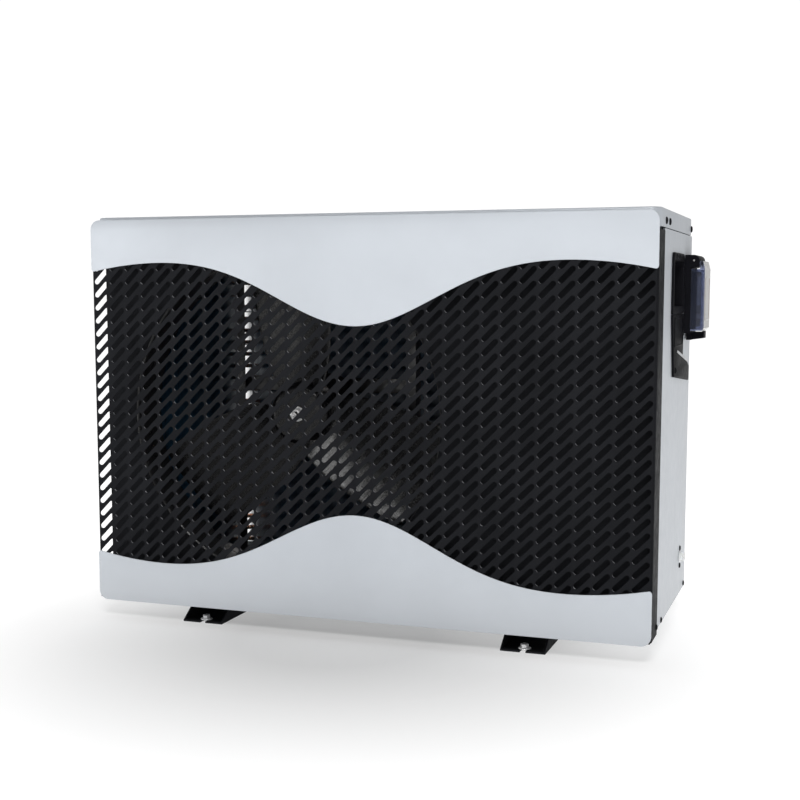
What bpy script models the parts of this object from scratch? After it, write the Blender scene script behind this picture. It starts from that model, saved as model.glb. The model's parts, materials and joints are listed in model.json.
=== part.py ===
"""Swimming pool heat pump: a sheet steel cabinet with a fan, a compressor and a side controller.

Cabinet coordinates run right (X), back (Y) and up (Z) from the lower left front corner of the
front trims. The empty cabinet_origin moves them into the assembly's frame, whose origin is on
the floor under the middle of the whole unit. All sizes are in metres.
"""

import math

import bmesh
import bpy
from mathutils import Matrix, Vector

# Overall sizes
WIDTH = 0.890
TRIM_HEIGHT = 0.607
LID_TOP = 0.612
BODY_BACK = 0.358
FOOT_DROP = 0.030
OVERALL_WIDTH = 0.9215
OVERALL_DEPTH = 0.400

# Sheet metal and clearances
SHEET = 0.0012
FOOT_PLATE = 0.0025
GAP = 0.0004

# Cabinet planes
TRIM_SHEET = 0.0015
GRILLE_FRONT = 0.0019
GRILLE_RETURN_END = 0.0536
DECK_FRONT = 0.0412
SHEET_BOTTOM = 0.0125
SHEET_TOP = 0.5835
SIDE_FRONT = 0.054
LID_FRONT = 0.015
LID_BACK = 0.3595
LID_BOTTOM = 0.585
LID_CORNER = 0.018
PAN_LOW = (0.0018, 0.0450, 0.0120)
PAN_HIGH = (0.8880, 0.3546, 0.0360)
DRAIN = (0.300, 0.285)
PARTITION_X = 0.590
GUARD_BOTTOM = 0.038
GUARD_TOP = 0.580

# Wave edge of the two front trims
TRIM_CORNER = 0.015
WAVE_BASE = 0.0585
WAVE_RISE = 0.1035
WAVE_SPREAD = 0.123
WAVE_END_RISE = 0.0222
WAVE_END_POWER = 4.6

# Grille slots
SLOT_PITCH_X = 0.0737
SLOT_PITCH_Z = 0.0549
SLOT_LENGTH = 0.062
SLOT_WIDTH = 0.022
SLOT_COLUMNS = 12
SLOT_ROWS = 9
SLOT_TILT = math.radians(45)

# Fan
FAN_X = 0.309
FAN_Z = 0.302
BLADE_COUNT = 3
BLADE_ROOT = 0.046
BLADE_TIP = 0.243
BLADE_MIDDLE = math.radians(-25)
BLADE_REACH = 46
BLADE_ROOT_REACH = 68
HUB_RADIUS = 0.050
HUB_FRONT = 0.100
HUB_BACK = 0.160
SHROUD_RADIUS = 0.254
SHROUD_BACK = 0.112
SHAFT_RADIUS = 0.005
MOTOR_FRONT = 0.168
MOTOR_BACK = 0.232
MOTOR_RADIUS = 0.058
BRACKET_REACH = 0.1537

# Feet
FOOT_CENTRES = (0.176, 0.7005)
FOOT_HALF = 0.034
FOOT_FRONT = 0.019
FOOT_BACK = 0.381
FOOT_TOP = 0.0116
FOOT_SLOPE = math.radians(33)
NOTCH_DEPTH = 0.014
NOTCH_RADIUS = 0.0045

# Coil
COIL_THICKNESS = 0.022
COIL_LEFT = 0.023
COIL_BACK = 0.333
COIL_END = 0.585
COIL_BEND = 0.158
COIL_LOW = 0.0137
COIL_HIGH = 0.575

# Water side
EXCHANGER = (0.800, 0.262)
EXCHANGER_RADIUS = 0.057
WATER_HEIGHTS = {"inlet": 0.085, "outlet": 0.305}
WATER_RADIUS = 0.025
WATER_BORE = 0.021
WATER_END = 0.398
UNION_RADIUS = 0.037
UNION_FRONT = 0.366

# Refrigerant side
COMPRESSOR = (0.700, 0.150)
COMPRESSOR_RADIUS = 0.058
ACCUMULATOR = (0.629, 0.085)
VALVE_Z = 0.335

# Controller on the right side
BOX_FRONT = 0.275
BOX_BACK = 0.351
BOX_LOW = 0.431
HINGE_X = 0.9039
HINGE_Z = 0.544
HINGE_ROUND = 0.0086
BASE_FACE = 0.900
DOOR_OUT = 0.9215
LATCH_X = 0.896
LATCH_Z = 0.4245
LATCH_TIP = 0.9190
DOOR_EARS = ((0.2840, 0.2880), (0.3380, 0.3420))
DISPLAY_FACE = 0.9080
KEYS = {"power": 0.2900, "mode": 0.3053, "up": 0.3207, "down": 0.3360}
KEY_Z = 0.4570
KEY_RADIUS = 0.0045
COVER_FACE = 0.8934

# Screw holes in the right side, each at a depth and a height
LID_SCREWS = {"front": (0.0607, 0.5948), "second": (0.0960, 0.5948), "rear": (0.3430, 0.5948)}
PANEL_SCREWS = {"grille": (0.0470, 0.0176), "front": (0.0918, 0.0176), "rear": (0.3440, 0.0184)}
COVER_SCREWS = {"front": (0.1650, 0.3790), "rear": (0.2400, 0.4320)}

PARTS = bpy.data.collections.new("pool_heat_pump")
HELPERS = bpy.data.collections.new("cutters")


# ---------------------------------------------------------------- scene and helpers


def clear_scene():
    for obj in list(bpy.data.objects):
        bpy.data.objects.remove(obj)
    for collection in (PARTS, HELPERS):
        bpy.context.scene.collection.children.link(collection)


def make_origin():
    empty = bpy.data.objects.new("cabinet_origin", None)
    empty.location = (-OVERALL_WIDTH / 2, -OVERALL_DEPTH / 2, FOOT_DROP)
    PARTS.objects.link(empty)
    return empty


def make_material(name, colour, roughness, metallic=0.0, transmission=0.0):
    material = bpy.data.materials.new(name)
    material.use_nodes = True
    shader = material.node_tree.nodes["Principled BSDF"]
    shader.inputs["Base Color"].default_value = (*colour, 1.0)
    shader.inputs["Roughness"].default_value = roughness
    shader.inputs["Metallic"].default_value = metallic
    shader.inputs["Transmission Weight"].default_value = transmission
    material.diffuse_color = (*colour, 1.0)
    return material


def box(low, high):
    """A rectangular block between two corners."""
    shape = bmesh.new()
    size = [b - a for a, b in zip(low, high)]
    middle = [(a + b) / 2 for a, b in zip(low, high)]
    place = Matrix.Translation(middle) @ Matrix.Diagonal((*size, 1.0))
    bmesh.ops.create_cube(shape, size=1.0, matrix=place)
    return shape


def rod(start, end, radius, segments=16, end_radius=None):
    """A round bar, or a cone, from one point to another."""
    start = Vector(start)
    end = Vector(end)
    turn = (end - start).to_track_quat("Z", "Y").to_matrix().to_4x4()
    place = Matrix.Translation((start + end) / 2) @ turn
    shape = bmesh.new()
    bmesh.ops.create_cone(
        shape,
        cap_ends=True,
        segments=segments,
        radius1=radius,
        radius2=radius if end_radius is None else end_radius,
        depth=(end - start).length,
        matrix=place,
    )
    return shape


def merged(shapes):
    """Several shapes in one mesh, still separate."""
    whole = bmesh.new()
    for shape in shapes:
        mesh = bpy.data.meshes.new("piece")
        shape.to_mesh(mesh)
        shape.free()
        whole.from_mesh(mesh)
        bpy.data.meshes.remove(mesh)
    return whole


def helper(name, shape):
    mesh = bpy.data.meshes.new(name)
    shape.to_mesh(mesh)
    shape.free()
    obj = bpy.data.objects.new(name, mesh)
    obj.parent = ORIGIN
    obj.hide_render = True
    obj.display_type = "WIRE"
    HELPERS.objects.link(obj)
    return obj


def boolean(obj, shape, operation, number):
    modifier = obj.modifiers.new(f"{operation.lower()}_{number}", "BOOLEAN")
    modifier.operation = operation
    modifier.solver = "EXACT"
    modifier.object = helper(f"{obj.name}_{operation.lower()}_{number}", shape)


def finish(obj, material, add=(), cut=(), origin=None, smooth=None):
    """Gives an object its finish, its joined and cut shapes, and its turning point."""
    obj.data.materials.append(material)
    if origin is not None:
        obj.data.transform(Matrix.Translation(-Vector(origin)))
        obj.location = origin
    for number, shape in enumerate(add):
        boolean(obj, shape, "UNION", number)
    for number, shape in enumerate(cut):
        boolean(obj, shape, "DIFFERENCE", number)
    if smooth is not None:
        obj.data.shade_smooth()
        obj.data.set_sharp_from_angle(angle=math.radians(smooth))
    return obj


def solid(name, shape, material, **more):
    mesh = bpy.data.meshes.new(name)
    shape.to_mesh(mesh)
    shape.free()
    obj = bpy.data.objects.new(name, mesh)
    obj.parent = ORIGIN
    PARTS.objects.link(obj)
    return finish(obj, material, **more)


def thicken(obj, thickness, offset=0.0):
    modifier = obj.modifiers.new("sheet", "SOLIDIFY")
    modifier.thickness = thickness
    modifier.offset = offset
    modifier.use_even_offset = True
    obj.modifiers.move(len(obj.modifiers) - 1, 0)
    return obj


def folded(name, profile, low, high, thickness, material, **more):
    """A bent sheet: a plan outline of its middle plane, raised from low to high."""
    shape = bmesh.new()
    corners = [shape.verts.new((x, y, low)) for x, y in profile]
    edges = [shape.edges.new(pair) for pair in zip(corners, corners[1:])]
    raised = bmesh.ops.extrude_edge_only(shape, edges=edges)
    moved = [item for item in raised["geom"] if isinstance(item, bmesh.types.BMVert)]
    bmesh.ops.translate(shape, verts=moved, vec=(0.0, 0.0, high - low))
    return thicken(solid(name, shape, material, **more), thickness)


def turned(name, profile, start, direction, material, steps=32, closed=False, **more):
    """A turned piece from radius and height pairs that run down its outside, on an axis."""
    shape = bmesh.new()
    corners = [shape.verts.new((radius, 0.0, height)) for radius, height in profile]
    for pair in zip(corners, corners[1:]):
        shape.edges.new(pair)
    if closed:
        shape.edges.new((corners[-1], corners[0]))
    mesh = bpy.data.meshes.new(name)
    shape.to_mesh(mesh)
    shape.free()
    obj = bpy.data.objects.new(name, mesh)
    obj.parent = ORIGIN
    obj.location = start
    obj.rotation_mode = "QUATERNION"
    obj.rotation_quaternion = Vector(direction).to_track_quat("Z", "Y")
    PARTS.objects.link(obj)
    screw = obj.modifiers.new("turn", "SCREW")
    screw.axis = "Z"
    screw.steps = steps
    screw.render_steps = steps
    screw.use_merge_vertices = True
    screw.merge_threshold = 0.00002
    screw.use_smooth_shade = True
    return finish(obj, material, **more)


def plate(name, loops, thickness, matrix, material):
    """A flat piece cut to closed outlines, the first its edge and the others holes."""
    curve = bpy.data.curves.new(name, "CURVE")
    curve.dimensions = "2D"
    curve.fill_mode = "BOTH"
    curve.extrude = thickness / 2
    for loop in loops:
        spline = curve.splines.new("POLY")
        spline.points.add(len(loop) - 1)
        spline.use_cyclic_u = True
        for point, (x, y) in zip(spline.points, loop):
            point.co = (x, y, 0.0, 1.0)
    obj = bpy.data.objects.new(name, curve)
    obj.parent = ORIGIN
    obj.matrix_local = matrix
    curve.materials.append(material)
    PARTS.objects.link(obj)
    return obj


def pipe(name, route, radius, material, points=18):
    """A bent tube whose middle line runs smoothly through a route, straight at both ends."""
    route = [Vector(point) for point in route]
    legs = [after - before for before, after in zip(route, route[1:])]
    slopes = [(before + after) / 2 for before, after in zip(legs, legs[1:])]
    slopes = [legs[0], legs[0], *slopes[1:-1], legs[-1], legs[-1]]
    curve = bpy.data.curves.new(name, "CURVE")
    curve.dimensions = "3D"
    curve.bevel_depth = radius
    curve.bevel_resolution = 1
    curve.use_fill_caps = True
    spline = curve.splines.new("POLY")
    spline.points.add(points - 1)
    for index, point in enumerate(spline.points):
        place = index / (points - 1) * len(legs)
        leg = min(int(place), len(legs) - 1)
        ends = (route[leg], route[leg + 1], slopes[leg], slopes[leg + 1])
        point.co = (*between(*ends, place - leg), 1.0)
    obj = bpy.data.objects.new(name, curve)
    obj.parent = ORIGIN
    curve.materials.append(material)
    PARTS.objects.link(obj)
    return obj


def between(start, end, leaving, arriving, t):
    """A point on the cubic curve between two points with the given slopes."""
    along = start * (2 * t**3 - 3 * t**2 + 1) + end * (3 * t**2 - 2 * t**3)
    return along + leaving * (t**3 - 2 * t**2 + t) + arriving * (t**3 - t**2)


def arc(centre_x, centre_y, radius, start, end, steps):
    """Points on a circle between two angles in degrees."""
    angles = [math.radians(start + (end - start) * i / steps) for i in range(steps + 1)]
    return [(centre_x + radius * math.cos(a), centre_y + radius * math.sin(a)) for a in angles]


# ---------------------------------------------------------------- chassis


def make_base_pan():
    shape = box(PAN_LOW, PAN_HIGH)
    top = max(shape.faces, key=lambda face: face.calc_center_median().z)
    bmesh.ops.delete(shape, geom=[top], context="FACES_ONLY")
    drain = rod((*DRAIN, 0.0), (*DRAIN, 0.020), 0.0095)
    pan = solid("base_pan", shape, GALVANISED, cut=[drain])
    return thicken(pan, SHEET, offset=-1.0)


def make_drain_nozzle():
    """A barbed spigot that hangs from the pan's drain hole."""
    profile = [(0.015, 0.0), (0.015, -0.003), (0.0085, -0.004), (0.0085, -0.012)]
    profile += [(0.0095, -0.012), (0.008, -0.020), (0.006, -0.020), (0.0065, 0.0)]
    start = (*DRAIN, PAN_LOW[2] - GAP)
    return turned("drain_nozzle", profile, start, (0, 0, 1), BLACK_PLASTIC, steps=14, closed=True)


def make_foot(name, centre):
    """A channel that runs front to back, with sloped ends and a bolt notch in each end."""
    wall = FOOT_HALF - FOOT_PLATE / 2
    floor = -FOOT_DROP + FOOT_PLATE / 2
    profile = ((-wall, FOOT_TOP), (-wall, floor), (wall, floor), (wall, FOOT_TOP))
    shape = bmesh.new()
    corners = [shape.verts.new((centre + x, FOOT_FRONT, z)) for x, z in profile]
    edges = [shape.edges.new(pair) for pair in zip(corners, corners[1:])]
    raised = bmesh.ops.extrude_edge_only(shape, edges=edges)
    moved = [item for item in raised["geom"] if isinstance(item, bmesh.types.BMVert)]
    bmesh.ops.translate(shape, verts=moved, vec=(0.0, FOOT_BACK - FOOT_FRONT, 0.0))
    cutters = []
    for end, inward in ((FOOT_FRONT, 1), (FOOT_BACK, -1)):
        wedge = box((centre - 0.05, -0.10, 0.0), (centre + 0.05, 0.10, 0.08))
        turn = Matrix.Rotation(inward * FOOT_SLOPE, 4, "X")
        hinge = Matrix.Translation((0.0, end, -FOOT_DROP + FOOT_PLATE + 0.0002))
        bmesh.ops.transform(wedge, matrix=hinge @ turn, verts=wedge.verts)
        cutters.append(wedge)
        inner = end + inward * NOTCH_DEPTH
        low_y, high_y = sorted((end - inward * 0.01, inner))
        slot = box(
            (centre - NOTCH_RADIUS, low_y, -0.04), (centre + NOTCH_RADIUS, high_y, -0.02)
        )
        cutters.append(slot)
        cutters.append(rod((centre, inner, -0.041), (centre, inner, -0.019), NOTCH_RADIUS))
    return thicken(solid(name, shape, BLACK_STEEL, cut=cutters), FOOT_PLATE)


def make_foot_bolt(name, centre, y):
    """A hexagon flange bolt standing in a foot's notch."""
    seat = -FOOT_DROP + FOOT_PLATE + GAP
    flange = rod((centre, y, seat), (centre, y, seat + 0.0018), 0.0085, 20)
    head = rod((centre, y, seat + 0.001), (centre, y, seat + 0.0075), 0.0062, 6)
    shank = rod((centre, y, -FOOT_DROP + 0.0002), (centre, y, seat + 0.001), 0.0039)
    return solid(name, flange, ZINC, add=[head, shank])


def make_posts_and_guards():
    front = ((0.0006, 0.072), (0.0006, 0.0438), (0.018, 0.0438))
    folded("front_left_post", front, SHEET_BOTTOM, SHEET_TOP, SHEET, SILVER)
    rear = ((0.0006, 0.316), (0.0006, 0.3574), (0.040, 0.3574))
    folded("rear_left_post", rear, SHEET_BOTTOM, SHEET_TOP, SHEET, SILVER)
    make_guard("left_guard", (0.0018, 0.0605), (0.0034, 0.327), 2)
    make_guard("rear_guard", (0.0140, 0.3545), (0.5860, 0.3561), 4)


def make_guard(name, low, high, columns, rows=9, bar=0.004):
    """A coil guard: an upright grid of bars with rectangular windows."""
    along = 0 if high[0] - low[0] > high[1] - low[1] else 1
    length = (high[along] - low[along] - bar) / columns
    rise = (GUARD_TOP - GUARD_BOTTOM - bar) / rows
    windows = []
    for column in range(columns):
        for row in range(rows):
            start = [low[0] - 0.002, low[1] - 0.002, GUARD_BOTTOM + bar + row * rise]
            end = [high[0] + 0.002, high[1] + 0.002, GUARD_BOTTOM + (row + 1) * rise]
            start[along] = low[along] + bar + column * length
            end[along] = low[along] + (column + 1) * length
            windows.append(box(start, end))
    shape = box((*low, GUARD_BOTTOM), (*high, GUARD_TOP))
    return solid(name, shape, BLACK_WIRE, cut=[merged(windows)])


def make_partition():
    low = (PARTITION_X, 0.0470, 0.0137)
    high = (PARTITION_X + SHEET, 0.318, SHEET_TOP)
    return solid("partition_plate", box(low, high), GALVANISED)


def make_rear_panel():
    profile = ((0.5926, 0.342), (0.5926, 0.3557), (0.8865, 0.3557))
    holes = []
    for height in WATER_HEIGHTS.values():
        start = (EXCHANGER[0], 0.345, height)
        end = (EXCHANGER[0], 0.365, height)
        holes.append(rod(start, end, WATER_RADIUS + 0.002, 24))
    holes.append(rod((0.660, 0.345, 0.430), (0.660, 0.365, 0.430), 0.0095))
    return folded("rear_panel", profile, 0.0385, SHEET_TOP, SHEET, SILVER, cut=holes)


def make_cable_gland():
    """The strain relief for the supply cable, clamped in the rear panel."""
    profile = [(0.006, 0.022), (0.011, 0.020), (0.0135, 0.013), (0.0135, 0.003), (0.015, 0.003)]
    profile += [(0.015, 0.0), (0.0088, 0.0), (0.0088, -0.010), (0.006, -0.010)]
    start = (0.660, 0.3563 + GAP, 0.430)
    return turned("cable_gland", profile, start, (0, 1, 0), BLACK_PLASTIC, steps=16, closed=True)


# ---------------------------------------------------------------- cabinet panels


def make_top_cover():
    shape = box((0.0, LID_FRONT, LID_BOTTOM), (WIDTH, LID_BACK, LID_TOP))
    upright = [edge for edge in shape.edges if abs(edge.verts[0].co.z - edge.verts[1].co.z) > 0.01]
    bmesh.ops.bevel(shape, geom=upright, offset=LID_CORNER, segments=4, affect="EDGES", profile=0.5)
    top = [face for face in shape.faces if face.normal.z > 0.9]
    rim = [edge for face in top for edge in face.edges]
    bmesh.ops.bevel(shape, geom=rim, offset=0.003, segments=1, affect="EDGES", profile=0.5)
    bottom = [face for face in shape.faces if face.normal.z < -0.9]
    bmesh.ops.delete(shape, geom=bottom, context="FACES_ONLY")
    holes = [screw_hole(place) for place in LID_SCREWS.values()]
    lid = solid("top_cover", shape, SILVER, cut=holes, smooth=30)
    return thicken(lid, SHEET, offset=-1.0)


def screw_hole(place, radius=0.0025):
    y, z = place
    return rod((0.880, y, z), (0.895, y, z), radius)


def make_right_side_panel():
    inner = WIDTH - SHEET / 2
    front = SIDE_FRONT + SHEET / 2
    back = BODY_BACK - SHEET / 2
    profile = ((0.876, front), (inner, front), (inner, back), (0.868, back))
    cuts = [
        box((0.870, 0.050, 0.0), (WIDTH - SHEET - 0.0002, 0.058, GUARD_BOTTOM)),
        box((0.880, 0.1355, 0.4715), (0.895, 0.2425, 0.5435)),
        box((0.880, 0.300, 0.470), (0.895, 0.330, 0.500)),
        rod((0.880, 0.290, 0.073), (0.895, 0.290, 0.073), 0.0062),
    ]
    screws = [*COVER_SCREWS.values(), PANEL_SCREWS["front"], PANEL_SCREWS["rear"]]
    cuts += [screw_hole(place) for place in screws]
    top = LID_BOTTOM - 0.001
    return folded("right_side_panel", profile, SHEET_BOTTOM, top, SHEET, SILVER, cut=cuts)


def make_front_deck():
    """The black inner front, open where the fan blows out."""
    shape = box((0.0006, DECK_FRONT, SHEET_BOTTOM), (0.8882, DECK_FRONT + SHEET, SHEET_TOP))
    mouth = rod((FAN_X, 0.035, FAN_Z), (FAN_X, 0.048, FAN_Z), SHROUD_RADIUS + 0.005, 36)
    return solid("front_deck", shape, BLACK_STEEL, cut=[mouth])


def make_fan_shroud():
    """The bell mouth round the fan: a flange on the deck and a short duct behind it."""
    depth = SHROUD_BACK - DECK_FRONT - SHEET - GAP
    profile = (
        (SHROUD_RADIUS + 0.016, 0.0),
        (SHROUD_RADIUS + 0.016, -0.0015),
        (SHROUD_RADIUS + 0.006, -0.0015),
        (SHROUD_RADIUS + 0.002, -0.006),
        (SHROUD_RADIUS + 0.002, -depth),
        (SHROUD_RADIUS, -depth),
        (SHROUD_RADIUS, -0.005),
        (SHROUD_RADIUS + 0.004, 0.0),
    )
    start = (FAN_X, DECK_FRONT + SHEET + GAP, FAN_Z)
    return turned("fan_shroud", profile, start, (0, -1, 0), BLACK_STEEL, steps=36, closed=True)


def slot_prism(x, z):
    """A cutter for one slanted slot through the grille."""
    half_length = SLOT_LENGTH / 2
    half_width = SLOT_WIDTH / 2
    shape = box((-half_length, -0.005, -half_width), (half_length, 0.005, half_width))
    tilt = Matrix.Rotation(-SLOT_TILT, 4, "Y")
    bmesh.ops.transform(shape, matrix=Matrix.Translation((x, 0.0025, z)) @ tilt, verts=shape.verts)
    return shape


def make_front_grille():
    """The slotted sheet behind the trims, bent back along its top, bottom and right edges."""
    left = 0.0017
    back = GRILLE_FRONT + SHEET
    bottom = 0.003
    shelf = DECK_FRONT - GAP
    shape = box((left, GRILLE_FRONT, bottom), (WIDTH, back, SHEET_TOP))
    returns = [
        box((left, back - 0.0006, SHEET_TOP - SHEET), (WIDTH - SHEET, shelf, SHEET_TOP)),
        box((left, back - 0.0006, bottom), (WIDTH - SHEET, shelf, bottom + SHEET)),
        box((WIDTH - SHEET, back - 0.0006, bottom), (WIDTH, GRILLE_RETURN_END, SHEET_TOP)),
    ]
    slots = []
    for column in range(SLOT_COLUMNS):
        x = WIDTH / 2 + (column - (SLOT_COLUMNS - 1) / 2) * SLOT_PITCH_X
        for row in range(SLOT_ROWS):
            z = TRIM_HEIGHT / 2 + (row - (SLOT_ROWS - 1) / 2) * SLOT_PITCH_Z
            covered = wave_height(x) - 0.018
            if covered < z < TRIM_HEIGHT - covered:
                slots.append(slot_prism(x, z))
    cuts = [merged(slots), screw_hole(PANEL_SCREWS["grille"])]
    return solid("front_grille", shape, BLACK_STEEL, add=returns, cut=cuts)


def wave_height(x):
    """Height of a trim along the front: a bell in the middle, and a slight lift at each end."""
    away = abs(x - WIDTH / 2)
    bell = math.exp(-((away / WAVE_SPREAD) ** 2) / 2)
    lift = (away / (WIDTH / 2)) ** WAVE_END_POWER
    return WAVE_BASE + WAVE_RISE * bell + WAVE_END_RISE * lift


def trim_outline():
    """The bottom trim's outline: a straight lower edge with round corners and a wavy upper edge."""
    corner = TRIM_CORNER
    outline = arc(corner, corner, corner, 180, 270, 5)
    outline += arc(WIDTH - corner, corner, corner, 270, 360, 5)
    steps = 40
    for index in range(steps + 1):
        x = WIDTH * (1 - index / steps)
        drop = 0.003 if index in (0, steps) else 0.0
        outline.append((x, wave_height(x) - drop))
    return outline


def make_trims():
    upright = Matrix.Translation((0.0, TRIM_SHEET / 2, 0.0)) @ Matrix.Rotation(math.pi / 2, 4, "X")
    plate("bottom_trim", [trim_outline()], TRIM_SHEET, upright, SILVER)
    mirrored = [(x, TRIM_HEIGHT - y) for x, y in reversed(trim_outline())]
    plate("top_trim", [mirrored], TRIM_SHEET, upright, SILVER)


# ---------------------------------------------------------------- fan section


def make_coil():
    """The finned evaporator, bent once so that it covers the left side and the back."""
    bend = arc(COIL_LEFT + COIL_BEND, COIL_BACK - COIL_BEND, COIL_BEND, 180, 90, 10)
    profile = [(COIL_LEFT, 0.060), *bend, (COIL_END, COIL_BACK)]
    return folded("evaporator_coil", profile, COIL_LOW, COIL_HIGH, COIL_THICKNESS, BLUE_FIN)


def make_coil_ends():
    low = (COIL_END + 0.0006, 0.316, COIL_LOW)
    solid("coil_end_plate", box(low, (low[0] + SHEET, 0.352, COIL_HIGH)), GALVANISED)
    x = 0.602
    stubs = []
    for index in range(5):
        height = 0.10 + 0.10 * index
        start = (COIL_END + 0.0006 + SHEET + GAP, COIL_BACK, height)
        stubs.append(rod(start, (x, COIL_BACK, height), 0.004, 10))
    stubs.append(rod((x, COIL_BACK, 0.300), (x, 0.3195, 0.300), 0.005, 12))
    header = rod((x, COIL_BACK, 0.070), (x, COIL_BACK, 0.530), 0.006, 12)
    solid("coil_header", header, COPPER, add=stubs, smooth=40)


def blade_sheet(turn):
    """One swept, twisted fan blade as an open surface about the fan's axis."""
    shape = bmesh.new()
    spans = 5
    bmesh.ops.create_grid(shape, x_segments=spans, y_segments=spans, size=1.0)
    for vertex in shape.verts:
        out = (vertex.co.x + 1) / 2
        chord = (vertex.co.y + 1) / 2
        radius = BLADE_ROOT + (BLADE_TIP - BLADE_ROOT) * out
        reach = math.radians(BLADE_REACH + BLADE_ROOT_REACH * (1 - out) ** 2.2)
        reach *= 1 - 0.2 * (2 * chord - 1) ** 4 * out**6
        angle = turn + BLADE_MIDDLE + reach * (chord - 0.5)
        depth = 0.094 + 0.056 * chord - 0.006 * out + 0.008 * math.sin(math.pi * chord)
        vertex.co = (radius * math.cos(angle), depth, radius * math.sin(angle))
    return shape


def make_impeller():
    """Hub cup and three blades in one moulding; air leaves towards the front."""
    depth = HUB_BACK - HUB_FRONT
    bore = SHAFT_RADIUS + 0.0003
    profile = (
        (bore, 0.0),
        (HUB_RADIUS - 0.008, 0.0),
        (HUB_RADIUS - 0.002, -0.003),
        (HUB_RADIUS, -0.010),
        (HUB_RADIUS, -depth),
        (HUB_RADIUS - 0.004, -depth),
        (HUB_RADIUS - 0.004, -0.008),
        (0.013, -0.008),
        (0.013, -depth),
        (bore, -depth),
    )
    place = (FAN_X, HUB_FRONT, FAN_Z)
    hub = turned("fan_impeller", profile, place, (0, -1, 0), FAN_PLASTIC, steps=20, closed=True)
    for number in range(BLADE_COUNT):
        turn = 2 * math.pi * number / BLADE_COUNT
        blade = helper(f"fan_blade_{number}", blade_sheet(turn))
        blade.location = (FAN_X, 0.0, FAN_Z)
        thicken(blade, 0.0028)
        union = hub.modifiers.new(f"blade_{number}", "BOOLEAN")
        union.operation = "UNION"
        union.solver = "EXACT"
        union.object = blade
    return hub


def make_fan_drive():
    axis = (FAN_X, FAN_Z)
    shaft = rod((axis[0], 0.086, axis[1]), (axis[0], 0.190, axis[1]), SHAFT_RADIUS, 20)
    place = (FAN_X, HUB_FRONT, FAN_Z)
    solid("motor_shaft", shaft, STEEL, origin=place, smooth=40)
    nut = rod((axis[0], 0.0895, axis[1]), (axis[0], HUB_FRONT - GAP, axis[1]), 0.0095, 6)
    washer = rod((axis[0], 0.0980, axis[1]), (axis[0], HUB_FRONT - GAP, axis[1]), 0.0120, 20)
    bore = rod((axis[0], 0.080, axis[1]), (axis[0], 0.110, axis[1]), SHAFT_RADIUS + 0.0003, 20)
    solid("fan_nut", nut, ZINC, add=[washer], cut=[bore], origin=place)


def make_motor():
    profile = (
        (0.0, 0.005),
        (0.014, 0.005),
        (0.014, 0.0),
        (MOTOR_RADIUS - 0.006, 0.0),
        (MOTOR_RADIUS, -0.006),
        (MOTOR_RADIUS, -0.058),
        (MOTOR_RADIUS - 0.006, MOTOR_FRONT - MOTOR_BACK),
        (0.0, MOTOR_FRONT - MOTOR_BACK),
    )
    bore = rod((FAN_X, 0.150, FAN_Z), (FAN_X, 0.192, FAN_Z), SHAFT_RADIUS + 0.0003, 20)
    place = (FAN_X, MOTOR_FRONT, FAN_Z)
    turned("fan_motor", profile, place, (0, -1, 0), BLACK_STEEL, steps=20, cut=[bore])


def make_motor_bracket():
    """Two uprights between the pan and the roof, tied by two bars that carry the motor."""
    back = MOTOR_BACK + GAP
    legs = []
    for side in (-1, 1):
        x = FAN_X + side * BRACKET_REACH
        legs.append(box((x - 0.008, 0.210, 0.0137), (x + 0.008, 0.2112, SHEET_TOP)))
        web = x + side * 0.0074
        legs.append(box((web - 0.0006, 0.2105, 0.0137), (web + 0.0006, back + 0.002, SHEET_TOP)))
    left = FAN_X - BRACKET_REACH - 0.008
    right = FAN_X + BRACKET_REACH + 0.008
    bars = []
    for low in (FAN_Z - 0.050, FAN_Z + 0.026):
        bars.append(box((left, back, low), (right, back + 0.002, low + 0.024)))
    solid("motor_bracket", legs[0], BLACK_PAINT, add=[*legs[1:], *bars])


# ---------------------------------------------------------------- compressor section


def make_compressor():
    x, y = COMPRESSOR
    radius = COMPRESSOR_RADIUS
    profile = (
        (0.0, 0.270),
        (radius * 0.55, 0.266),
        (radius * 0.88, 0.254),
        (radius, 0.234),
        (radius, 0.050),
        (radius * 0.85, 0.034),
        (radius * 0.5, 0.028),
        (0.0, 0.028),
    )
    foot = rod((x, y, 0.0230), (x, y, 0.0300), 0.082, 6)
    outlet = rod((x + 0.020, y - 0.024, 0.240), (x + 0.020, y - 0.024, 0.2780), 0.007, 10)
    turned("compressor", profile, (x, y, 0.0), (0, 0, 1), BLACK_PAINT, steps=18, add=[foot, outlet])


def make_accumulator():
    x, y = ACCUMULATOR
    profile = [(0.0, 0.210), (0.016, 0.206), (0.028, 0.190)]
    profile += [(0.028, 0.064), (0.016, 0.050), (0.0, 0.046)]
    neck = rod((x, y, 0.195), (x, y, 0.2180), 0.007, 10)
    foot = rod((x, y, 0.0137), (x, y, 0.052), 0.014, 10)
    turned("accumulator", profile, (x, y, 0.0), (0, 0, 1), BLACK_PAINT, steps=14, add=[neck, foot])


def make_four_way_valve():
    x, y = COMPRESSOR
    body = rod((x - 0.050, y, VALVE_Z), (x + 0.050, y, VALVE_Z), 0.011, 16)
    ports = [rod((x, y, VALVE_Z), (x, y, VALVE_Z + 0.027), 0.006, 10)]
    for shift in (-0.022, 0.0, 0.022):
        ports.append(rod((x + shift, y, VALVE_Z), (x + shift, y, VALVE_Z - 0.027), 0.006, 10))
    low = (x - 0.015, y + 0.008, VALVE_Z - 0.012)
    solenoid = box(low, (x + 0.015, y + 0.034, VALVE_Z + 0.012))
    solid("four_way_valve", body, BRASS, add=[*ports, solenoid], smooth=40)


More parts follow.
